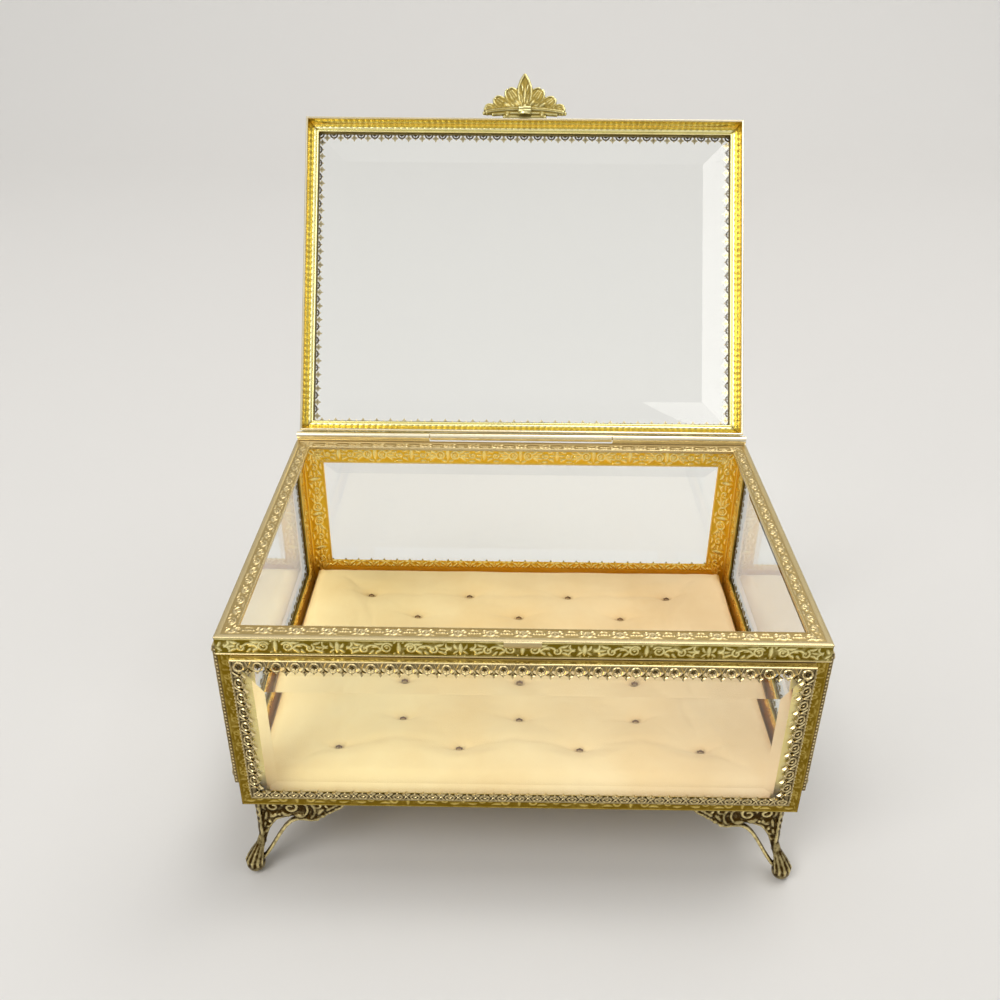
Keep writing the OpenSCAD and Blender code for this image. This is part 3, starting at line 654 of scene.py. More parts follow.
def velvet():
    """Cream velvet: a short pile, brushed in patches, rosier to the right, and darkened in the pinches of its
    tufts with painted shade.
    """
    made, tree, shader = material("cream_velvet")
    place = add(tree, "ShaderNodeTexCoord").outputs["Object"]
    across = add(tree, "ShaderNodeSeparateXYZ", Vector=place).outputs["X"]
    patches = noise(tree, place, 28.0, 5.0, Roughness=0.55)
    rosy, brushed = spread(tree, across, -0.05, 0.1), spread(tree, patches, 0.35, 0.65)
    pale = blend_colour(tree, rosy, (0.97, 0.79, 0.40, 1), (0.94, 0.71, 0.43, 1))
    deep = blend_colour(tree, rosy, (0.90, 0.68, 0.30, 1), (0.86, 0.61, 0.33, 1))
    # The pits of the tufts are darkened with painted shade, a dark brown, read from the cushion's points.
    painted_tuft_shade = add(tree, "ShaderNodeAttribute", {"attribute_name": "painted_tuft_shade"}).outputs["Fac"]
    cloth = blend_colour(tree, brushed, deep, pale)
    pile, worn = noise(tree, place, 3200.0, 2.0), noise(tree, place, 260.0, 4.0)
    feed(tree, shader, {
        "Base Color": blend_colour(tree, painted_tuft_shade, cloth, (0.1, 0.045, 0.016, 1)),
        "Normal": bumps(tree, math_node(tree, "MULTIPLY_ADD", worn, 1.2, pile), 0.35, 0.0003),
        "Roughness": math_node(tree, "MULTIPLY_ADD", patches, 0.15, 0.78),
        "Sheen Weight": 0.2, "Sheen Roughness": 0.4, "Sheen Tint": (1.0, 0.93, 0.8, 1),
    })
    return made


def fibre(name, light, dark, scale, stretch):
    """A dull stuff with a fine grain drawn out along x: wound thread, or pressed board."""
    made, tree, shader = material(name)
    place = add(tree, "ShaderNodeTexCoord").outputs["Object"]
    drawn = add(tree, "ShaderNodeMapping", Vector=place, Scale=stretch).outputs[0]
    grain = noise(tree, drawn, scale, 4.0)
    feed(tree, shader, {
        "Base Color": blend_colour(tree, grain, (*dark, 1), (*light, 1)),
        "Normal": bumps(tree, grain, 0.4, 0.0002),
        "Roughness": math_node(tree, "MULTIPLY_ADD", grain, 0.2, 0.75),
    })
    return made


PLATE_GLASS = glass()
VELVET = velvet()
# The thread is dark brown, and part of that darkness is painted shade of the tuft pits it sits in.
THREAD = fibre("wound_thread", (0.24, 0.14, 0.06), (0.08, 0.035, 0.012), 900.0, (4, 1, 1))
BOARD = fibre("pressed_board", (0.62, 0.5, 0.34), (0.4, 0.3, 0.18), 300.0, (0.2, 1, 1))

# Rim, frames and inner frames


def build_rims():
    """The flat top rail of each wall with its skirt: scrolls down the face, a plain bead and a
    row of flourishes along the top."""
    top, low = body_h, body_h - skirt_h
    band_out, band_in = rim_w - 0.45, rim_w - 4.35
    skirt_trim, crest_w = 0.85, 3.9
    for side in SIDES:
        half = wall_l(side) / 2
        shell = Shell()
        skirt = ACANTHUS.fitted(2 * half, skirt_h - skirt_trim)
        crest = (FLOURISH if side in ("front", "rear") else VINE).fitted(2 * half, crest_w)
        moulding(shell, wall(side), half, [
            run((skirt_t, low), (skirt_t, top - rim_t), (rim_w, top - rim_t), (rim_w, top - 0.35), shine=0.5),
            bow((rim_w, top - 0.35), (rim_w - 0.35, top - 0.08), 0.12, 4, shine=0.95),
            run((rim_w - 0.35, top - 0.08), (band_out, top - 0.3), shine=0.15),
            run((band_out, top - 0.3), (band_in, top - 0.3), cuts=17, pattern=crest, depth=0.26),
            run((band_in, top - 0.3), (band_in - 0.1, top - 0.16), shine=0.15),
            bow((band_in - 0.1, top - 0.16), (0.35, top - 0.12), 0.12, 6, shine=0.72),
            bow((0.35, top - 0.12), (0.02, top - 0.42), 0.12, 5, shine=1.0),
            run((0.02, top - 0.42), (0.18, top - 0.55), shine=0.1, part=1),
            run((0.18, top - 0.55), (0.18, low + 0.3), cuts=20, pattern=skirt, depth=0.2, part=1),
            bow((0.18, low + 0.3), (0.18, low + 0.02), 0.1, 3, shine=1.0),
            run((0.18, low + 0.02), (skirt_t, low), shine=0.6),
        ])
        placed(f"rim_moulding_{side}", shell, (GILT_RIM, GILT_SKIRT), "casket", f"rim_{side}",
               slot="pale_gilt")


def window_strips(half, low, high, inner_half, inner_low, inner_high):
    """The four mitred strips round a window, as pairs of an outer and an inner edge."""
    def ring(x, z0, z1):
        return [(-x, z0), (x, z0), (x, z1), (-x, z1)]

    o, i = ring(half, low, high), ring(inner_half, inner_low, inner_high)
    return {name: ((o[a], o[b]), (i[a], i[b])) for name, a, b in
            (("bottom", 0, 1), ("right", 1, 2), ("top", 2, 3), ("left", 3, 0))}


def strip_l(edge):
    """The length of a strip's outer edge, which runs level or upright."""
    return abs(edge[1][0] - edge[0][0]) + abs(edge[1][1] - edge[0][1])


def plain(x, t):
    return np.zeros(np.broadcast(x, t).shape)


def bordered(pattern, near, far, ground=0.1):
    """A pattern that fills a strip of a wider band, from near to far, with plain ground beside it."""
    def at(x, t):
        return np.where((t >= near) & (t <= far), pattern(x, np.clip(t - near, 0, far - near)), ground)

    return at


def build_frames():
    """The pressed frame of each wall, round its window."""
    for side in SIDES:
        half = wall_l(side) / 2
        strips = window_strips(half - frame_face, 0, frame_high, half - window_side, window_low, window_high)
        shell = Shell()
        for name, (outer, inner) in strips.items():
            long = strip_l(outer)
            shown = (seat_low if name == "bottom" else seat_side - frame_face) - bead_w
            pattern = plain if name == "top" else bordered(SCROLLS.fitted(long, shown), 0, shown)
            depth, shine = (0.2, 0.9) if name == "bottom" else (0.12, 0.45)
            pressed_sheet(shell, wall(side), outer, inner, frame_face, frame_back, pattern, depth,
                          4 if name == "top" else 0.3, shine)
        placed(f"pressed_frame_{side}", shell, GILT_BAND, "casket", f"frame_{side}", slot="gilt")


def build_liners():
    """The inner frames: brocade over the window and down its sides, leafage along its foot."""
    relief, leafage_h = 0.3, 3.4
    face = liner_back - relief
    for side in SIDES:
        half = wall_l(side) / 2
        low = {"front": liner_front_low, "rear": liner_low}.get(side, liner_side_low)
        strips = window_strips(half - face, base_t, frame_high, half - liner_side, low, liner_high)
        shell = Shell()
        for name, (outer, inner) in strips.items():
            long = strip_l(outer)
            wide = {"bottom": low - base_t, "top": frame_high - liner_high}.get(name, liner_side - face)
            if name == "bottom":
                pattern = bordered(LEAFAGE.fitted(long, leafage_h), wide - leafage_h, wide, 0.15)
            else:
                pattern = BROCADE.fitted(long, wide)
            pressed_sheet(shell, wall(side), outer, inner, face, liner_face, pattern, relief)
        placed(f"inner_frame_{side}", shell, GILT_LINER, "casket", f"liner_{side}", slot="deep_gilt")


build_rims()
build_frames()
build_liners()

# Galleries


def row_tree():
    """Geometry nodes: a row of one motif from Start, Count times by Step, each turned by Turn."""
    tree = bpy.data.node_groups.new("row_of_motifs", "GeometryNodeTree")
    tree.is_modifier = True
    for name, kind in (("Geometry", "Geometry"), ("Motif", "Object"), ("Start", "Vector"), ("Step", "Vector"),
                       ("Count", "Int"), ("Turn", "Vector"), ("Finish", "Material")):
        tree.interface.new_socket(name, in_out="INPUT", socket_type="NodeSocket" + kind)
    tree.interface.new_socket("Geometry", in_out="OUTPUT", socket_type="NodeSocketGeometry")
    given, out = tree.nodes.new("NodeGroupInput").outputs, tree.nodes.new("NodeGroupOutput")
    line = add(tree, "GeometryNodeMeshLine", {"mode": "OFFSET"}, Count=given["Count"],
               Start_Location=given["Start"], Offset=given["Step"])
    shape = add(tree, "GeometryNodeObjectInfo", Object=given["Motif"])
    row = add(tree, "GeometryNodeInstanceOnPoints", Points=line.outputs[0],
              Instance=shape.outputs["Geometry"], Rotation=given["Turn"])
    join = add(tree, "GeometryNodeJoinGeometry")
    for part in (row.outputs[0], given["Geometry"]):
        tree.links.new(part, join.inputs[0])
    real = add(tree, "GeometryNodeRealizeInstances", Geometry=join.outputs[0])
    done = add(tree, "GeometryNodeSetMaterial", Geometry=real.outputs[0], Material=given["Finish"])
    feed(tree, out, {0: done.outputs[0]})
    return tree


ROW = row_tree()


def with_rows(name, shell, rows, finish):
    """The shell's mesh with rows of motifs joined to it: (motif, place, start, pitch, count)."""
    holder = stood(name, shell.mesh(name))
    sockets = {i.name: i.identifier for i in ROW.interface.items_tree if i.in_out == "INPUT"}
    for motif, place, start, pitch, count in rows:
        made = holder.modifiers.new("row", "NODES")
        made.node_group = ROW
        begin, step = place @ Vector((start, 0, 0)), place.to_3x3() @ Vector((pitch, 0, 0))
        for socket, value in (
            ("Motif", motif), ("Start", tuple(begin * MM)), ("Step", tuple(step * MM)),
            ("Count", count), ("Turn", tuple(place.to_euler("XYZ"))), ("Finish", finish),
        ):
            made[sockets[socket]] = value
    return plain_mesh(holder, name)


def plain_mesh(holder, name):
    """The finished mesh of an object with modifiers, which is then taken away."""
    view = bpy.context.evaluated_depsgraph_get()
    mesh = bpy.data.meshes.new_from_object(holder.evaluated_get(view))
    mesh.name = name
    bpy.data.objects.remove(holder)
    return mesh


def motif(name, shell):
    """A shape that rows repeat, and that isn't shown itself."""
    made = stood(name, shell.mesh(name))
    made.hide_render = True
    return made


def rosette():
    """A ring round a five-petalled flower, with a small pendant under it; z runs to the points."""
    shell, z = Shell(), 1.68
    a = np.linspace(0, 2 * math.pi, 11)
    ring = np.stack([1.42 * np.cos(a), np.full(11, -0.36), z + 1.32 * np.sin(a)], 1)
    points = []
    for k in range(10):
        out = np.array([math.cos(a[k]), 0, math.sin(a[k])])
        for w in np.arange(4) * math.pi / 2:
            points.append(ring[k] + 0.34 * (math.cos(w) * out + math.sin(w) * np.array([0, -1, 0])))
    faces = [tuple(i % 40 for i in f) for f in bands(11, 4)]
    shell.take(points, faces, np.tile([0.3, 1.0, 0.3, 0.0], 10))
    b = np.linspace(0, 2 * math.pi, 11)[:10] + math.pi / 2
    dip = np.arange(10) % 2
    wide = np.where(dip, 0.5, 1.0)
    low = np.stack([wide * np.cos(b), np.zeros(10), z + wide * np.sin(b)], 1)
    high = np.stack([0.72 * wide * np.cos(b), np.where(dip, -0.2, -0.5), z + 0.72 * wide * np.sin(b)], 1)
    points = np.concatenate([low, high, [[0, 0, z], [0, -0.68, z]]])
    faces = bands(2, 10) + fan(20, 0, 10, True) + fan(21, 10, 10)
    shell.take(points, faces, np.concatenate([np.full(10, 0.05), np.where(dip, 0.0, 0.5), [0.0, 0.9]]))
    ball(shell, (0, -0.3, 3.45), 0.36, sides=5, rings=3)
    return motif("rosette", shell)


def lace_point():
    """A diamond with hollow sides and a sunk middle, hung from two curved bars."""
    shell, z = Shell(), 3.05
    a = np.linspace(0, 2 * math.pi, 9)[:8]
    corner = np.arange(8) % 2 == 0
    tall = np.where(np.abs(np.cos(a)) > 0.5, 1.45, 1.5)
    out = np.where(corner, tall, 0.8)
    points, marks = [(0, -0.02, z), (0, -0.3, z)], [0.1, 0.0]
    for share, y, mark in ((1.0, -0.02, 0.6), (0.66, -0.62, 1.0), (0.26, -0.4, 0.15)):
        points += [(o * share * math.cos(v), y, z + o * share * math.sin(v)) for o, v in zip(out, a)]
        marks += [mark] * 8
    faces = [tuple(i + 2 for i in f) for f in bands(3, 8, True)] + fan(0, 2, 8, True) + fan(1, 18, 8)
    shell.take(points, faces, np.array(marks))
    for s in (-1, 1):
        tube(shell, [(s * 0.95, -0.3, 0.0), (s * 0.5, -0.38, 0.8), (s * 0.12, -0.38, 1.8)], 0.26, 4)
    return motif("lace_point", shell)


def pearl():
    """One bead of the beaded edge."""
    shell = Shell()
    ball(shell, (0, 0, 0), 0.42, sides=6, rings=4)
    return motif("pearl", shell)


ROSETTE, LACE_POINT, PEARL = rosette(), lace_point(), pearl()


def gallery(name, place, width, height, lean, body, node):
    """The lace round a pane: a bead that stands round the pane's edge, and rows of rosettes and
    points that lean in over its bevel. The pane's seat is y = 0 and its points run inwards."""
    shell, rows, high = Shell(), [], bead_t - 0.25
    for angle in (0, 180, 90, -90):
        long, drop = (width, height) if angle in (0, 180) else (height, width)
        # The top strip's bead and lace ground are drawn light and the other strips' dark: painted light on
        # the top strip, painted shade on the others.
        crown, flank, floor = (0.95, 0.7, 0.3) if angle == 180 else (0.3, 0.12, 0.14)
        foot = place @ turn(math.radians(angle), "Y") @ move(0, 0, -drop / 2)
        moulding(shell, foot @ turn(math.pi / 2, "X"), long / 2, [
            run((-bead_w, 0), (0, 0), (0, high - 0.2), shine=0.3),
            bow((0, high - 0.2), (-bead_w, high - 0.3), 0.3, 7, shine=crown),
            run((-bead_w, high - 0.3), (-bead_w, high - 1.5), (-bead_w, 0), shine=flank),
        ], step=8)
        leaning = foot @ move(0, lace_t - bead_t, 0) @ turn(lean, "X")
        ground = [(x * (long / 2 - z), y, z) for y in (-0.12, -0.02) for x, z in
                  ((-1, 0.1), (1, 0.1), (1, 1.7), (-1, 1.7))]
        edge = [(k, k + 4, (k + 1) % 4 + 4, (k + 1) % 4) for k in range(4)]
        shell.take(ground, [(0, 1, 2, 3), (7, 6, 5, 4)] + edge, floor, leaning)
        reach = long - 2 * lace_end
        count = round(reach / lace_pitch) + 1
        pitch, first = reach / (count - 1), -reach / 2
        rows.append((LACE_POINT, leaning, first + pitch / 2, pitch, count - 1))
        if angle in (0, 180):
            rows.append((ROSETTE, leaning, first, pitch, count))
        else:
            rows.append((ROSETTE, leaning, first + pitch, pitch, count - 2))
            beads = int(long / pearl_pitch)
            lip = foot @ move(0, 0.8 - high, -bead_w)
            rows.append((PEARL, lip, -(beads - 1) * pearl_pitch / 2, pearl_pitch, beads))
    placed(name, with_rows(name, shell, rows, GILT_LACE), GILT_LACE, body, node, slot="pale_gilt")


for side in SIDES:
    gallery(f"lace_{side}", wall(side) @ move(0, frame_face, (seat_low + seat_high) / 2),
            wall_l(side) - 2 * seat_side, seat_high - seat_low, lace_lean, "casket", f"gallery_{side}")
gallery("lid_lace", LID @ move(0, (lid_back + lid_front) / 2, lid_high) @ turn(-math.pi / 2, "X"),
        lid_w - 2 * lid_band, lid_back - lid_front - 2 * lid_band, lid_lean, "lid", "lid_gallery")
for shape in (ROSETTE, LACE_POINT, PEARL):
    bpy.data.objects.remove(shape)

# Lid


def sunk(pattern, reach, height):
    """A pattern that is pressed into bright metal instead of out of it."""
    mark = pattern.fitted(reach, height)
    return lambda x, t: 1 - mark(x, t)


def build_lid():
    """The tray-shaped rails of the lid, rolled at the mouth and hollowed inside, and the dashed
    bead round the glass."""
    low, high, seat = lid_low, lid_high, lid_liner_low
    cove, line = 2.3, 3.6
    for side in SIDES:
        half = rail_l(side) / 2
        shell = Shell()
        flank = BROCADE.fitted(2 * half, high - low - 2.0)
        ripples = sunk(RIPPLE, 2 * half, 1.5)
        moulding(shell, rail(side), half, [
            bow((0.02, low + 0.5), (0.9, low + 0.42), 0.44, 6, shine=1.0, part=1),
            run((0.9, low + 0.42), (1.0, low + 0.85), shine=0.1),
            bow((1.0, low + 0.85), (cove, seat - 0.1), -0.5, 12, pattern=ripples, depth=0.05),
            run((cove, seat - 0.1), (cove, seat), (lid_wall, seat), (lid_wall, lid_flange_low),
                (lid_band + pane_lap, lid_flange_low), (lid_band + pane_lap, high), (lid_band - bead_w, high),
                shine=0.4),
            bow((lid_band - bead_w, high - 0.05), (0.5, high - 0.05), 0.0, 6, shine=0.5, part=2),
            bow((0.5, high - 0.05), (0.06, high - 0.7), 0.2, 6, shine=0.95, part=2),
            run((0.06, high - 0.7), (0.25, high - 0.85), shine=0.15, part=2),
            run((0.25, high - 0.85), (0.25, low + 1.0), cuts=30, pattern=flank, depth=0.24, part=2),
            run((0.25, low + 1.0), (0.02, low + 0.9), (0.02, low + 0.5), shine=0.6, part=2),
        ])
        placed(f"lid_moulding_{side}", shell, (GILT_LID, HINGE_BRASS, GILT_SKIRT), "lid",
               f"lid_rail_{side}", slot="gilt")
    shell = Shell()
    for side in SIDES:
        half = rail_l(side) / 2
        moulding(shell, rail(side), half, [
            run((lid_wall, seat), (cove - 0.05, seat), shine=0.15),
            bow((cove - 0.05, seat), (line, seat), 0.5, 8, pattern=sunk(DASHES, 2 * half, 1.5), depth=0.16),
            run((line, seat), (line + 0.1, seat + 0.1), shine=0.1),
            bow((line + 0.1, seat + 0.1), (lid_inner - 0.2, seat + 0.35), 0.35, 5, shine=1.0),
            run((lid_inner - 0.2, seat + 0.35), (lid_inner, seat + 0.8), (lid_inner, lid_flange_low),
                (lid_wall, lid_flange_low), (lid_wall, seat), shine=0.0),
        ], step=0.24)
    placed("lid_bead", shell, GILT_LIFT, "lid", "lid_liner", slot="pale_gilt")


build_lid()

# Cast filigree


def cast(name, shell, cell, finish, body, node, slot, place=None):
    """Runs loose bars and leaves together into one casting, and marks its proud parts bright, partly as
    rubbed wear and partly as painted glints on the ridges.
    """
    holder = stood(name, shell.mesh(name))
    knit = holder.modifiers.new("knit", "REMESH")
    knit.mode, knit.voxel_size, knit.use_smooth_shade = "VOXEL", cell * MM, True
    ease = holder.modifiers.new("ease", "SMOOTH")
    ease.factor, ease.iterations = 0.5, 2
    mesh = plain_mesh(holder, name)
    n = len(mesh.vertices)
    points, normals, pairs = np.empty(n * 3), np.empty(n * 3), np.empty(len(mesh.edges) * 2, int)
    mesh.vertices.foreach_get("co", points)
    mesh.vertex_normals.foreach_get("vector", normals)
    mesh.edges.foreach_get("vertices", pairs)
    points, normals, pairs = points.reshape(-1, 3), normals.reshape(-1, 3), pairs.reshape(-1, 2)
    near = np.bincount(pairs.ravel(), minlength=n)

    def around(values):
        """The sum of a value over each point's neighbours."""
        return (np.bincount(pairs[:, 0], values[pairs[:, 1]], n)
                + np.bincount(pairs[:, 1], values[pairs[:, 0]], n))

    mean = np.stack([around(points[:, k]) for k in range(3)], 1) / near[:, None]
    proud = np.einsum("ij,ij->i", points - mean, normals) / (cell * MM)
    for _ in range(3):
        proud = (around(proud) + 2 * proud) / (near + 2)
    mark = mesh.attributes.get("raised") or mesh.attributes.new("raised", "FLOAT", "POINT")
    # Rubbed wear and painted glints: the proudest ridges get the brightest marks.
    mark.data.foreach_set("value", np.clip(7.5 * proud - 0.08, 0, 1).astype(np.float32))
    return placed(name, mesh, finish, body, node, slot=slot, sharp=70)


def bar(shell, line, r, place):
    tube(shell, line, r, 7, place)


def flat_leaf(shell, a, b, w, thick, place, bend=0.0, n=8):
    """A pointed, cushioned leaf between two (a, z) points of a wing's or a plate's plane."""
    line, widths, _ = leaf(a[0], a[1], b[0], b[1], w, bend, n=n)
    path = np.stack([line[:, 0], np.zeros(n), line[:, 1]], 1)
    tube(shell, path, widths, 8, place, squash=thick / w)


def plate(shell, outline, b0, b1, place):
    """A flat plate with an outline of (a, z) points, between two depths."""
    n = len(outline)
    points = [(a, b, z) for b in (b0, b1) for a, z in outline]
    faces = [tuple(range(n)), tuple(range(2 * n - 1, n - 1, -1))]
    faces += [(k, n + k, n + (k + 1) % n, (k + 1) % n) for k in range(n)]
    shell.take(points, faces, place=place)


def wing(shell, place):
    """One wing of a foot: x runs from the foot's corner along the body's edge, z is up."""
    def line(*points, b=0.0):
        fine = np.array(points, float)
        return np.stack([fine[:, 0], np.full(len(fine), b), fine[:, 1]], 1)

    outline = [(-0.4, 0), (28.6, 0), (29.0, -2.6), (27.6, -5.0), (25.2, -6.3), (22.6, -7.6), (20.4, -9.6),
               (17.4, -10.4), (14.4, -10.0), (12.0, -9.3), (8.6, -9.6), (6.0, -11.0), (4.0, -13.6),
               (2.6, -16.8), (1.6, -20.2), (-0.4, -21.0)]
    plate(shell, outline, -0.1, 0.5, place)
    bar(shell, line((-0.2, -0.5), (28.4, -0.5)), 0.7, place)
    strap = ((20, -10.0), (17.5, -10.3), (15.5, -9.9), (13.2, -9.9), (11, -11.0), (8.8, -13.5), (7, -16.3),
             (5.3, -19.2), (3.4, -22.4), (1.6, -25.0), (-0.2, -27.0))
    for b in (-0.5, 0.5):
        path = line(*strap, b=b)
        path[:, 1] -= 2.4 * np.clip((-path[:, 2] - 13) / 14, 0, 1) ** 1.5
        bar(shell, path, 0.62, place)
    bar(shell, line((17.5, -10.3), (19.4, -9.9), (21.3, -9.1), (23.1, -7.6), (25.6, -6.1), (27.8, -4.7),
                    (28.8, -3.0), (28.3, -0.6)), 0.62, place)
    for a, z, r in (
        (18.9, -9.7, 1.0), (21.5, -8.6, 1.0), (23.9, -6.9, 0.9), (26.1, -5.5, 0.8), (28.2, -3.9, 0.8),
        (28.7, -1.9, 0.6), (22.6, -2.0, 0.7), (16.2, -1.9, 0.6), (9.2, -2.0, 0.6), (4.0, -2.2, 0.6),
    ):
        ball(shell, (a, 0, z), r, place)
    for x, z, r0, r1, a0, a1, w in (
        (14.4, -6.2, 4.9, 4.6, 75, -50, 0.75), (12.6, -5.9, 4.4, 3.9, 60, -40, 0.55),
        (11.2, -4.8, 2.7, 0.5, 150, -330, 0.6), (5.6, -4.4, 2.4, 0.4, 30, 480, 0.58),
        (24.4, -3.3, 1.8, 0.5, 200, 560, 0.55), (20.4, -3.7, 2.0, 0.5, 60, 400, 0.55),
    ):
        path, widths, _ = curl(x, z, r0, r1, a0, a1, w, w * 0.8, n=26)
        bar(shell, np.stack([path[:, 0], np.full(len(path), -0.35), path[:, 1]], 1), widths, place)
    for a, b, w, bend in (
        ((19.6, -8.6), (22.6, -5.0), 0.8, 0.4), ((22.6, -6.6), (25.6, -4.0), 0.7, 0.3),
        ((25.6, -4.6), (28.2, -1.6), 0.6, 0.2), ((12.0, -8.4), (17.0, -8.6), 0.75, -0.3),
        ((7.6, -7.2), (11.8, -8.2), 0.7, -0.4), ((14.4, -2.0), (17.4, -5.4), 0.7, 0.5),
        ((8.4, -5.0), (9.6, -1.0), 0.6, 0.3), ((1.8, -1.6), (3.4, -7.0), 0.75, -0.4),
        ((3.2, -6.8), (1.6, -11.6), 0.7, 0.4), ((2.2, -10.6), (1.2, -15.6), 0.65, 0.3),
        ((1.6, -14.6), (0.9, -19.2), 0.6, 0.2), ((3.6, -9.6), (7.4, -8.4), 0.6, 0.3),
    ):
        flat_leaf(shell, a, b, 1.25 * w, 1.1, place, bend)
    for a, z in ((4.6, -8.7), (6.0, -8.3), (7.4, -8.1), (8.8, -8.2), (10.1, -8.6), (3.9, -11.4),
                 (3.0, -13.6), (2.3, -15.9)):
        ball(shell, (a, -0.2, z), 0.7, place)
    bar(shell, line((10.4, -8.7), (8.0, -9.5), (6.0, -10.4), (4.4, -12.4), (3.0, -14.8), (2.2, -17.0),
                    (1.5, -19.2)), 0.55, place)
    bar(shell, line((0.1, -0.3), (0.3, -4), (0.6, -8), (0.3, -11), (0.0, -14.3), (0.1, -19),
                    (-0.4, -21.5)), 0.6, place)
    for z in np.arange(-1.5, -19, -2.9):
        flat_leaf(shell, (-0.3, z), (1.0, z - 3.4), 0.75, 1.0, place, 0.3)


def build_feet():
    """Four cast feet: two pierced wings, a strap and a leg to each, and a leaf over a round toe."""
    shell = Shell()
    corner, toe, up = frame_face + foot_inset, frame_face + toe_inset, -under
    swap = Matrix(((0, 1, 0, 0), (1, 0, 0, 0), (0, 0, 1, 0), (0, 0, 0, 1)))
    for flip in (Matrix.Identity(4), swap):
        wing(shell, flip @ move(corner, corner + 0.9, 0))
    ankle, ball_at = np.array([corner + 0.6, corner + 0.6]), np.array([toe, toe])

    def drift(share):
        """A place between the ankle and the middle of the toe."""
        return ankle * (1 - share) + ball_at * share

    tube(shell, [(*ankle, -17.5), (*drift(0.2), -21), (*ball_at, -26.5)], [1.0, 1.1, 2.3], 12)
    for angle in (-235, -205, -170, -135, -100, -65, -35):
        way = np.array([math.cos(math.radians(angle)), math.sin(math.radians(angle))])
        path = [(*(drift(share) + out * way), z) for share, out, z in (
            (0, 0.75, -17.6), (0.25, 1.15, -20.6), (0.7, 2.1, -23.6), (1, 2.8, -26.0), (1, 2.9, -27.6))]
        tube(shell, path, [0.4, 0.5, 0.62, 0.66, 0.42], 7)
    ball(shell, (*ball_at, up + toe_r), toe_r, sides=24, rings=16)
    tube(shell, [(*ball_at, up + 1.1), (*ball_at, up + 2.4)], 1.8, 20)
    gusset = [(corner, corner), (corner + gusset_l, corner), (corner, corner + gusset_l)]
    shell.take([(x, y, z) for z in (-1, 0) for x, y in gusset],
               [(0, 2, 1), (3, 4, 5), (0, 1, 4, 3), (1, 2, 5, 4), (2, 0, 3, 5)])
    points = np.concatenate(shell.points)
    for name in CORNERS:
        x, y = (1 if "right" in name else -1), (1 if "rear" in name else -1)
        place = BODY @ Matrix.Diagonal((-x, -y, 1, 1)) @ move(-body_w / 2, -body_d / 2, 0)
        foot = Shell()
        foot.take(points, shell.faces, place=place)
        cast(f"filigree_foot_{name}", foot, 0.3, GILT_FOOT, "casket", f"foot_{name}", "gilt")


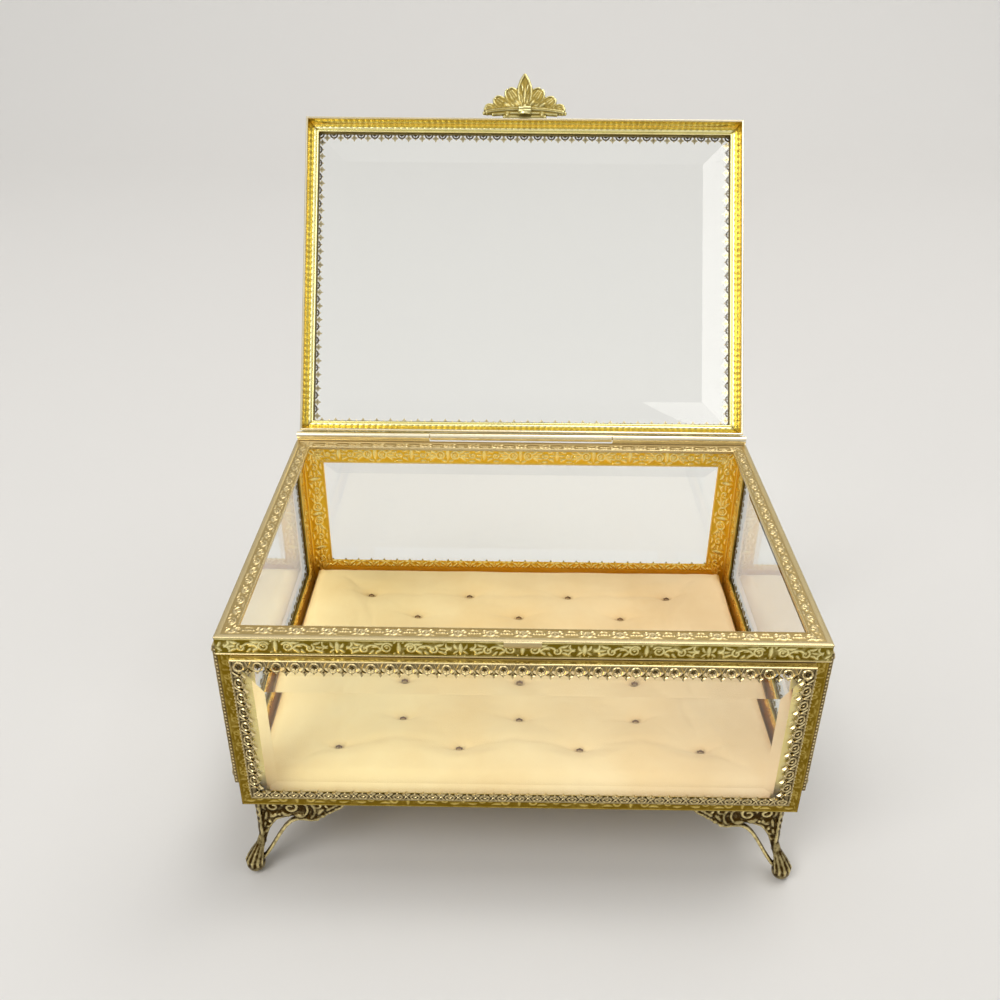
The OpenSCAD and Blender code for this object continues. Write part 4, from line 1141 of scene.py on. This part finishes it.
def build_thumb_lift():
    """The crown on the lid's front: a pointed leaf between ribbed lobes over an arched bar."""
    shell = Shell()
    root = LID @ move(0, lid_front - lift_out, lid_low + lift_out) @ turn(-lift_lean, "X")
    root = root @ Matrix.Diagonal((1, -1, 1, 1))
    flat = root @ Matrix(((1, 0, 0, 0), (0, 0, 1, 0), (0, 1, 0, 0.7), (0, 0, 0, 1)))

    def lobe(x, y, angle, long, wide, ribs, s):
        """A cushioned, ribbed leaf with a raised edge, from its root at (x, y)."""
        way = np.array([math.cos(math.radians(angle)), math.sin(math.radians(angle))])
        side = np.array([-way[1], way[0]])

        def at(along, across):
            p = np.array([x, y]) + along * long * way + across * wide / 2 * side
            return (s * p[0], p[1])

        flat_leaf(shell, at(0, 0), at(1.02, 0), 0.6 * wide, 0.5, flat, n=12)
        for edge in (-1, 1):
            round_way = np.linspace(0.12, 3.05, 12)
            points = [at(0.5 - 0.5 * math.cos(v), edge * math.sin(v) ** 0.8) for v in round_way]
            bar(shell, [(a, 0, b) for a, b in points], 0.52, flat)
        for k in range(ribs):
            share = (k + 1) / (ribs + 1) * 2 - 1
            points = [at(0.12, 0.15 * share), at(0.5, 0.7 * share), at(0.86, 0.5 * share)]
            bar(shell, [(a, 0, b) for a, b in points], [0.5, 0.62, 0.4], flat)

    bar(shell, [(x, 0, 2.9 - 1.5 * (x / 15.6) ** 2) for x in np.linspace(-15.6, 15.6, 21)], 1.15, flat)
    bar(shell, [(x, 0, 1.2 - 0.6 * (x / 13) ** 2) for x in np.linspace(-13, 13, 17)], 0.75, flat)
    for s in (-1, 1):
        lobe(2.2, 4.6, 60, 8.8, 5.8, 3, s)
        lobe(6.9, 3.6, 42, 6.8, 4.6, 2, s)
        lobe(11.6, 2.2, 22, 4.6, 4.2, 1, s)
        flat_leaf(shell, (s * 1.4, 3.4), (s * 4.6, 8.0), 1.3, 0.9, flat)
        flat_leaf(shell, (s * 5.2, 3.2), (s * 9.4, 6.6), 1.1, 0.9, flat)
        for x, y, r0, r1, a0, a1, w in (
            (14.2, 2.9, 2.2, 0.6, -150, 330, 0.6), (4.9, 4.8, 1.3, 0.5, 200, -60, 0.5),
            (10.2, 3.9, 1.2, 0.5, 190, -80, 0.5),
        ):
            path, widths, _ = curl(x, y, r0, r1, a0, a1, w, w * 0.85, n=28)
            bar(shell, np.stack([s * path[:, 0], np.full(len(path), 0.0), path[:, 1]], 1), widths, flat)
        bar(shell, [(s * 1.1, 0, 3.6), (s * 2.2, 0, 6.6), (s * 2.6, 0, 9.6), (s * 2.5, 0, 13.0),
                    (s * 1.5, 0, 16.2), (0, 0, 18.9)], 0.66, flat)
        ball(shell, (s * 16.2, 0, 1.2), 0.8, flat)
        ball(shell, (s * 12.0, 0, 7.6), 0.6, flat)
    flat_leaf(shell, (0, 4.0), (0, 18.4), 2.5, 0.4, flat, n=14)
    flat_leaf(shell, (0, 5.6), (0, 14.4), 0.9, 0.9, flat)
    for s in (-1, 1):
        flat_leaf(shell, (s * 0.5, 9.5), (s * 1.5, 15.6), 0.42, 0.7, flat)
    ball(shell, (0, 0, 4.3), 1.0, flat)
    bar(shell, [(-8.4, 0.2, -0.4), (8.4, 0.2, -0.4)], 0.85, flat)
    for x in (-7, 0, 7):
        bar(shell, [(x, 0, 1.6), (x, 0, 0.3), (x, 0.6, -1.2)], 0.9, flat)
    cast("filigree_thumb_lift", shell, 0.2, GILT_LIFT, "lid", "thumb_lift", "pale_gilt")


def build_catches():
    """The folded strike tab under the rim's front edge, and the lid's half-round clip."""
    shell = Shell()
    moulding(shell, wall("front"), 5.5, [
        bow((-0.45, body_h - 2.2), (0, body_h - 2.15), 0.1, 3, shine=0.6),
        run((0, body_h - 2.15), (0, body_h - 0.05), shine=0.4),
        bow((0, body_h - 0.05), (-0.8, body_h - 0.55), 0.22, 6, shine=1.0),
        bow((-0.8, body_h - 0.55), (-0.45, body_h - 2.2), 0.12, 5, shine=0.35),
    ], step=0.5, mitre=0)
    placed("strike_tab", shell, GILT_RIM, "casket", "front_catch", slot="gilt")
    shell = Shell()
    face, low, high = -body_d / 2 - clip_t - clip_gap, body_h - 1.1, lid_low + lift_out
    a = np.linspace(math.pi, 2 * math.pi, 17)
    line = [(clip_r * math.cos(v), low + 2.2 + 2.2 * math.sin(v)) for v in a]
    line += [(clip_r, high), (-clip_r, high)]
    n = len(line)
    rings = [(0.0, 0.86), (-0.12, 1.0), (-0.72, 1.0), (-clip_t, 0.84)]
    middle = (low + high) / 2
    points = [(x * k, face + y, middle + (z - middle) * k) for y, k in rings for x, z in line]
    faces = bands(4, n) + [tuple(range(n))[::-1], tuple(range(3 * n, 4 * n))]
    shell.take(points, faces, 0.5, LID)
    for out in (1.7, 2.82):
        tube(shell, [(x, face - out, low + 1.9) for x in (-2.5, -2.2, 2.2, 2.5)],
             [0.6, 0.8, 0.8, 0.6], 12, LID, 0.45)
    placed("lid_clip", shell, GILT_LIFT, "lid", "lid_catch", slot="gilt")


build_feet()
build_thumb_lift()
build_catches()

# Cushion


def tufts():
    """The tufts over the body's underside: rows of four and of three in turn."""
    wide, deep = (cushion_high - cushion_low)[:2] - 2 * tuft_margin
    cols, rows = 1 + int(wide // tuft_pitch), 1 + int(deep // tuft_row_pitch)
    return [((i - (cols - 1 + r % 2) / 2) * tuft_pitch, (r - (rows - 1) / 2) * tuft_row_pitch)
            for r in range(rows) for i in range(r % 2, cols)]


def cushion_shape(step):
    """A closed pad on its board: the top sheet starts flat but for the tufts, which are drawn down."""
    low, high = cushion_low - (0, mid_y, under), cushion_high - (0, mid_y, under)
    half_x, half_y = (high[0] - low[0]) / 2 - pad_inset, (high[1] - low[1]) / 2 - pad_inset
    nx, ny = round(2 * half_x / step) + 1, round(2 * half_y / step) + 1
    x, y = np.meshgrid(np.linspace(-half_x, half_x, nx), np.linspace(-half_y, half_y, ny), indexing="ij")
    rim = np.minimum(half_x - np.abs(x), half_y - np.abs(y))
    top = high[2] - pad_crown - 1.3 * np.exp(-rim / 1.1)
    for tx, ty in tufts():
        top -= 1.9 * np.exp(-((x - tx) / 3.2) ** 2 - ((y - ty) / 2.2) ** 2)
    n = nx * ny
    points = np.concatenate([np.stack([x, y, top], -1).reshape(-1, 3),
                             np.stack([x, y, np.full_like(x, low[2] + 0.05)], -1).reshape(-1, 3)])
    g = np.arange(n).reshape(nx, ny)
    loop = np.concatenate([g[:, 0], g[-1, 1:], g[-2::-1, -1], g[0, -2:0:-1]])
    after = np.roll(loop, -1)
    faces = [tuple(q) for q in squares(g)] + [tuple(q[::-1]) for q in squares(g + n)]
    faces += [tuple(q) for q in np.stack([after, loop, loop + n, after + n], -1).tolist()]
    pinned = [int(g[round((tx + half_x) / (2 * half_x) * (nx - 1)),
                    round((ty + half_y) / (2 * half_y) * (ny - 1))]) for tx, ty in tufts()]
    return points, faces, pinned + list(range(n, 2 * n)), n


def plumped(points, faces, pinned):
    """The pad blown up as cloth, held at its tufts and its underside. It is worked at ten times
    its size, and no point may move further than pad_reach."""
    big, frames = 10 * MM, 20
    mesh = bpy.data.meshes.new("pad")
    mesh.from_pydata((points * big).tolist(), [], faces)
    pad = stood("pad", mesh)
    pad.vertex_groups.new(name="held").add(pinned, 1.0, "REPLACE")
    cloth = pad.modifiers.new("cloth", "CLOTH")
    cloth.settings.quality = 6
    cloth.settings.mass = 0.3
    cloth.settings.tension_stiffness = cloth.settings.compression_stiffness = 12
    cloth.settings.bending_stiffness = 0.6
    cloth.settings.vertex_group_mass = "held"
    cloth.settings.use_pressure = True
    cloth.settings.uniform_pressure_force = 4
    cloth.settings.effector_weights.gravity = 0
    cloth.point_cache.frame_start, cloth.point_cache.frame_end = 1, frames
    for number in range(1, frames + 1):
        scene.frame_set(number)
    done = plain_mesh(pad, "pad")
    moved = np.empty(len(points) * 3)
    done.vertices.foreach_get("co", moved)
    bpy.data.meshes.remove(done)
    scene.frame_set(1)
    shift = moved.reshape(-1, 3) / big - points
    reach = np.linalg.norm(shift, axis=1)[:, None]
    return points + shift * np.minimum(1, pad_reach / np.maximum(reach, 1e-9))


def build_cushion():
    """The velvet cushion with its pinched tufts and the soft creases between them."""
    points, faces, pinned, n = cushion_shape(1.5)
    points = plumped(points, faces, pinned)
    mesh = bpy.data.meshes.new("cushion_pad")
    mesh.from_pydata((points * MM).tolist(), [], faces)
    holder = stood("cushion_pad", mesh)
    finer = holder.modifiers.new("finer", "SUBSURF")
    finer.levels = finer.render_levels = 1
    mesh = plain_mesh(holder, "velvet_cushion")
    fine = np.empty(len(mesh.vertices) * 3)
    mesh.vertices.foreach_get("co", fine)
    fine = fine.reshape(-1, 3) / MM
    top = fine[:, 2] > cushion_low[2] - under + 2.5
    x, y = fine[:, 0], fine[:, 1]
    # Painted shade: a mask that is 1 in the slit of each tuft, where the velvet is darkened.
    painted_tuft_shade = np.zeros(len(fine))
    sink = np.zeros(len(fine))
    for k, (tx, ty) in enumerate(tufts()):
        lean = 0.12 * math.sin(2.4 * k)
        u, v = x - tx, y - ty - lean * (x - tx)
        slit = np.exp(-(u / 1.7) ** 2 - (v / 0.72) ** 2)
        sink += 1.7 * slit + 0.6 * np.exp(-(u / 7) ** 2 - (v / 1.2) ** 2)
        sink += 0.35 * np.exp(-(u / 9) ** 2 - (v / 3.4) ** 2)
        painted_tuft_shade = np.maximum(painted_tuft_shade, np.exp(-(u / 1.8) ** 2 - (v / 0.72) ** 2))
    sink += 0.12 * np.sin(x * 0.21 + 1.3 * np.sin(y * 0.09)) * np.sin(y * 0.33 + 0.8 * np.sin(x * 0.05))
    fine[:, 2] -= np.where(top, sink, 0)
    mesh.vertices.foreach_set("co", (np.array(BODY)[:3, 3] + fine).ravel() * MM)
    mark = mesh.attributes.new("painted_tuft_shade", "FLOAT", "POINT")
    mark.data.foreach_set("value", np.clip(np.where(top, painted_tuft_shade, 0) * 1.25 - 0.2, 0, 1).astype(np.float32))
    pad = placed("velvet_cushion", mesh, VELVET, "casket", "cushion", slot="velvet", sharp=180)


def build_stitches():
    """A short twist of thread at the bottom of each tuft."""
    shell, twist = Shell(), Shell()
    for s in (-1, 1):
        a = np.linspace(0, 1, 5)
        strand = np.stack([1.9 * (a - 0.5), s * 0.22 * np.cos(a * 6), 0.5 * np.sin(np.pi * a) - 0.1], 1)
        tube(twist, strand, 0.24, 5)
    made = motif("twist", twist)
    floor = cushion_high[2] - under - tuft_depth
    ball(shell, (*tufts()[0], floor + 0.1), 0.3, BODY, sides=6, rings=4)
    rows = {}
    for tx, ty in tufts():
        rows.setdefault(ty, []).append(tx)
    wound = with_rows("tuft_threads", shell, [
        (made, BODY @ move(0, ty, floor + 0.25), xs[0], tuft_pitch, len(xs)) for ty, xs in rows.items()
    ], THREAD)
    bpy.data.objects.remove(made)
    placed("tuft_threads", wound, THREAD, "casket", "tuft_stitches", slot="stitch_thread")


build_cushion()
build_stitches()

# What stays as packed

KEPT = {
    PLATE_GLASS: [f"pane_{s}" for s in SIDES] + ["lid_pane"],
    PLAIN_BRASS: ["base_plate", "hinge_pin"] + [f"post_{c}" for c in CORNERS],
    HINGE_BRASS: ["hinge_knuckle_left", "hinge_knuckle_right", "lid_knuckle"],
    BOARD: ["cushion_board"],
}
for finish, names in KEPT.items():
    for name in names:
        node = frame["nodes"][name]
        for held in node.material_slots:
            held.material = finish
        if not node.material_slots:
            node.data.materials.append(finish)
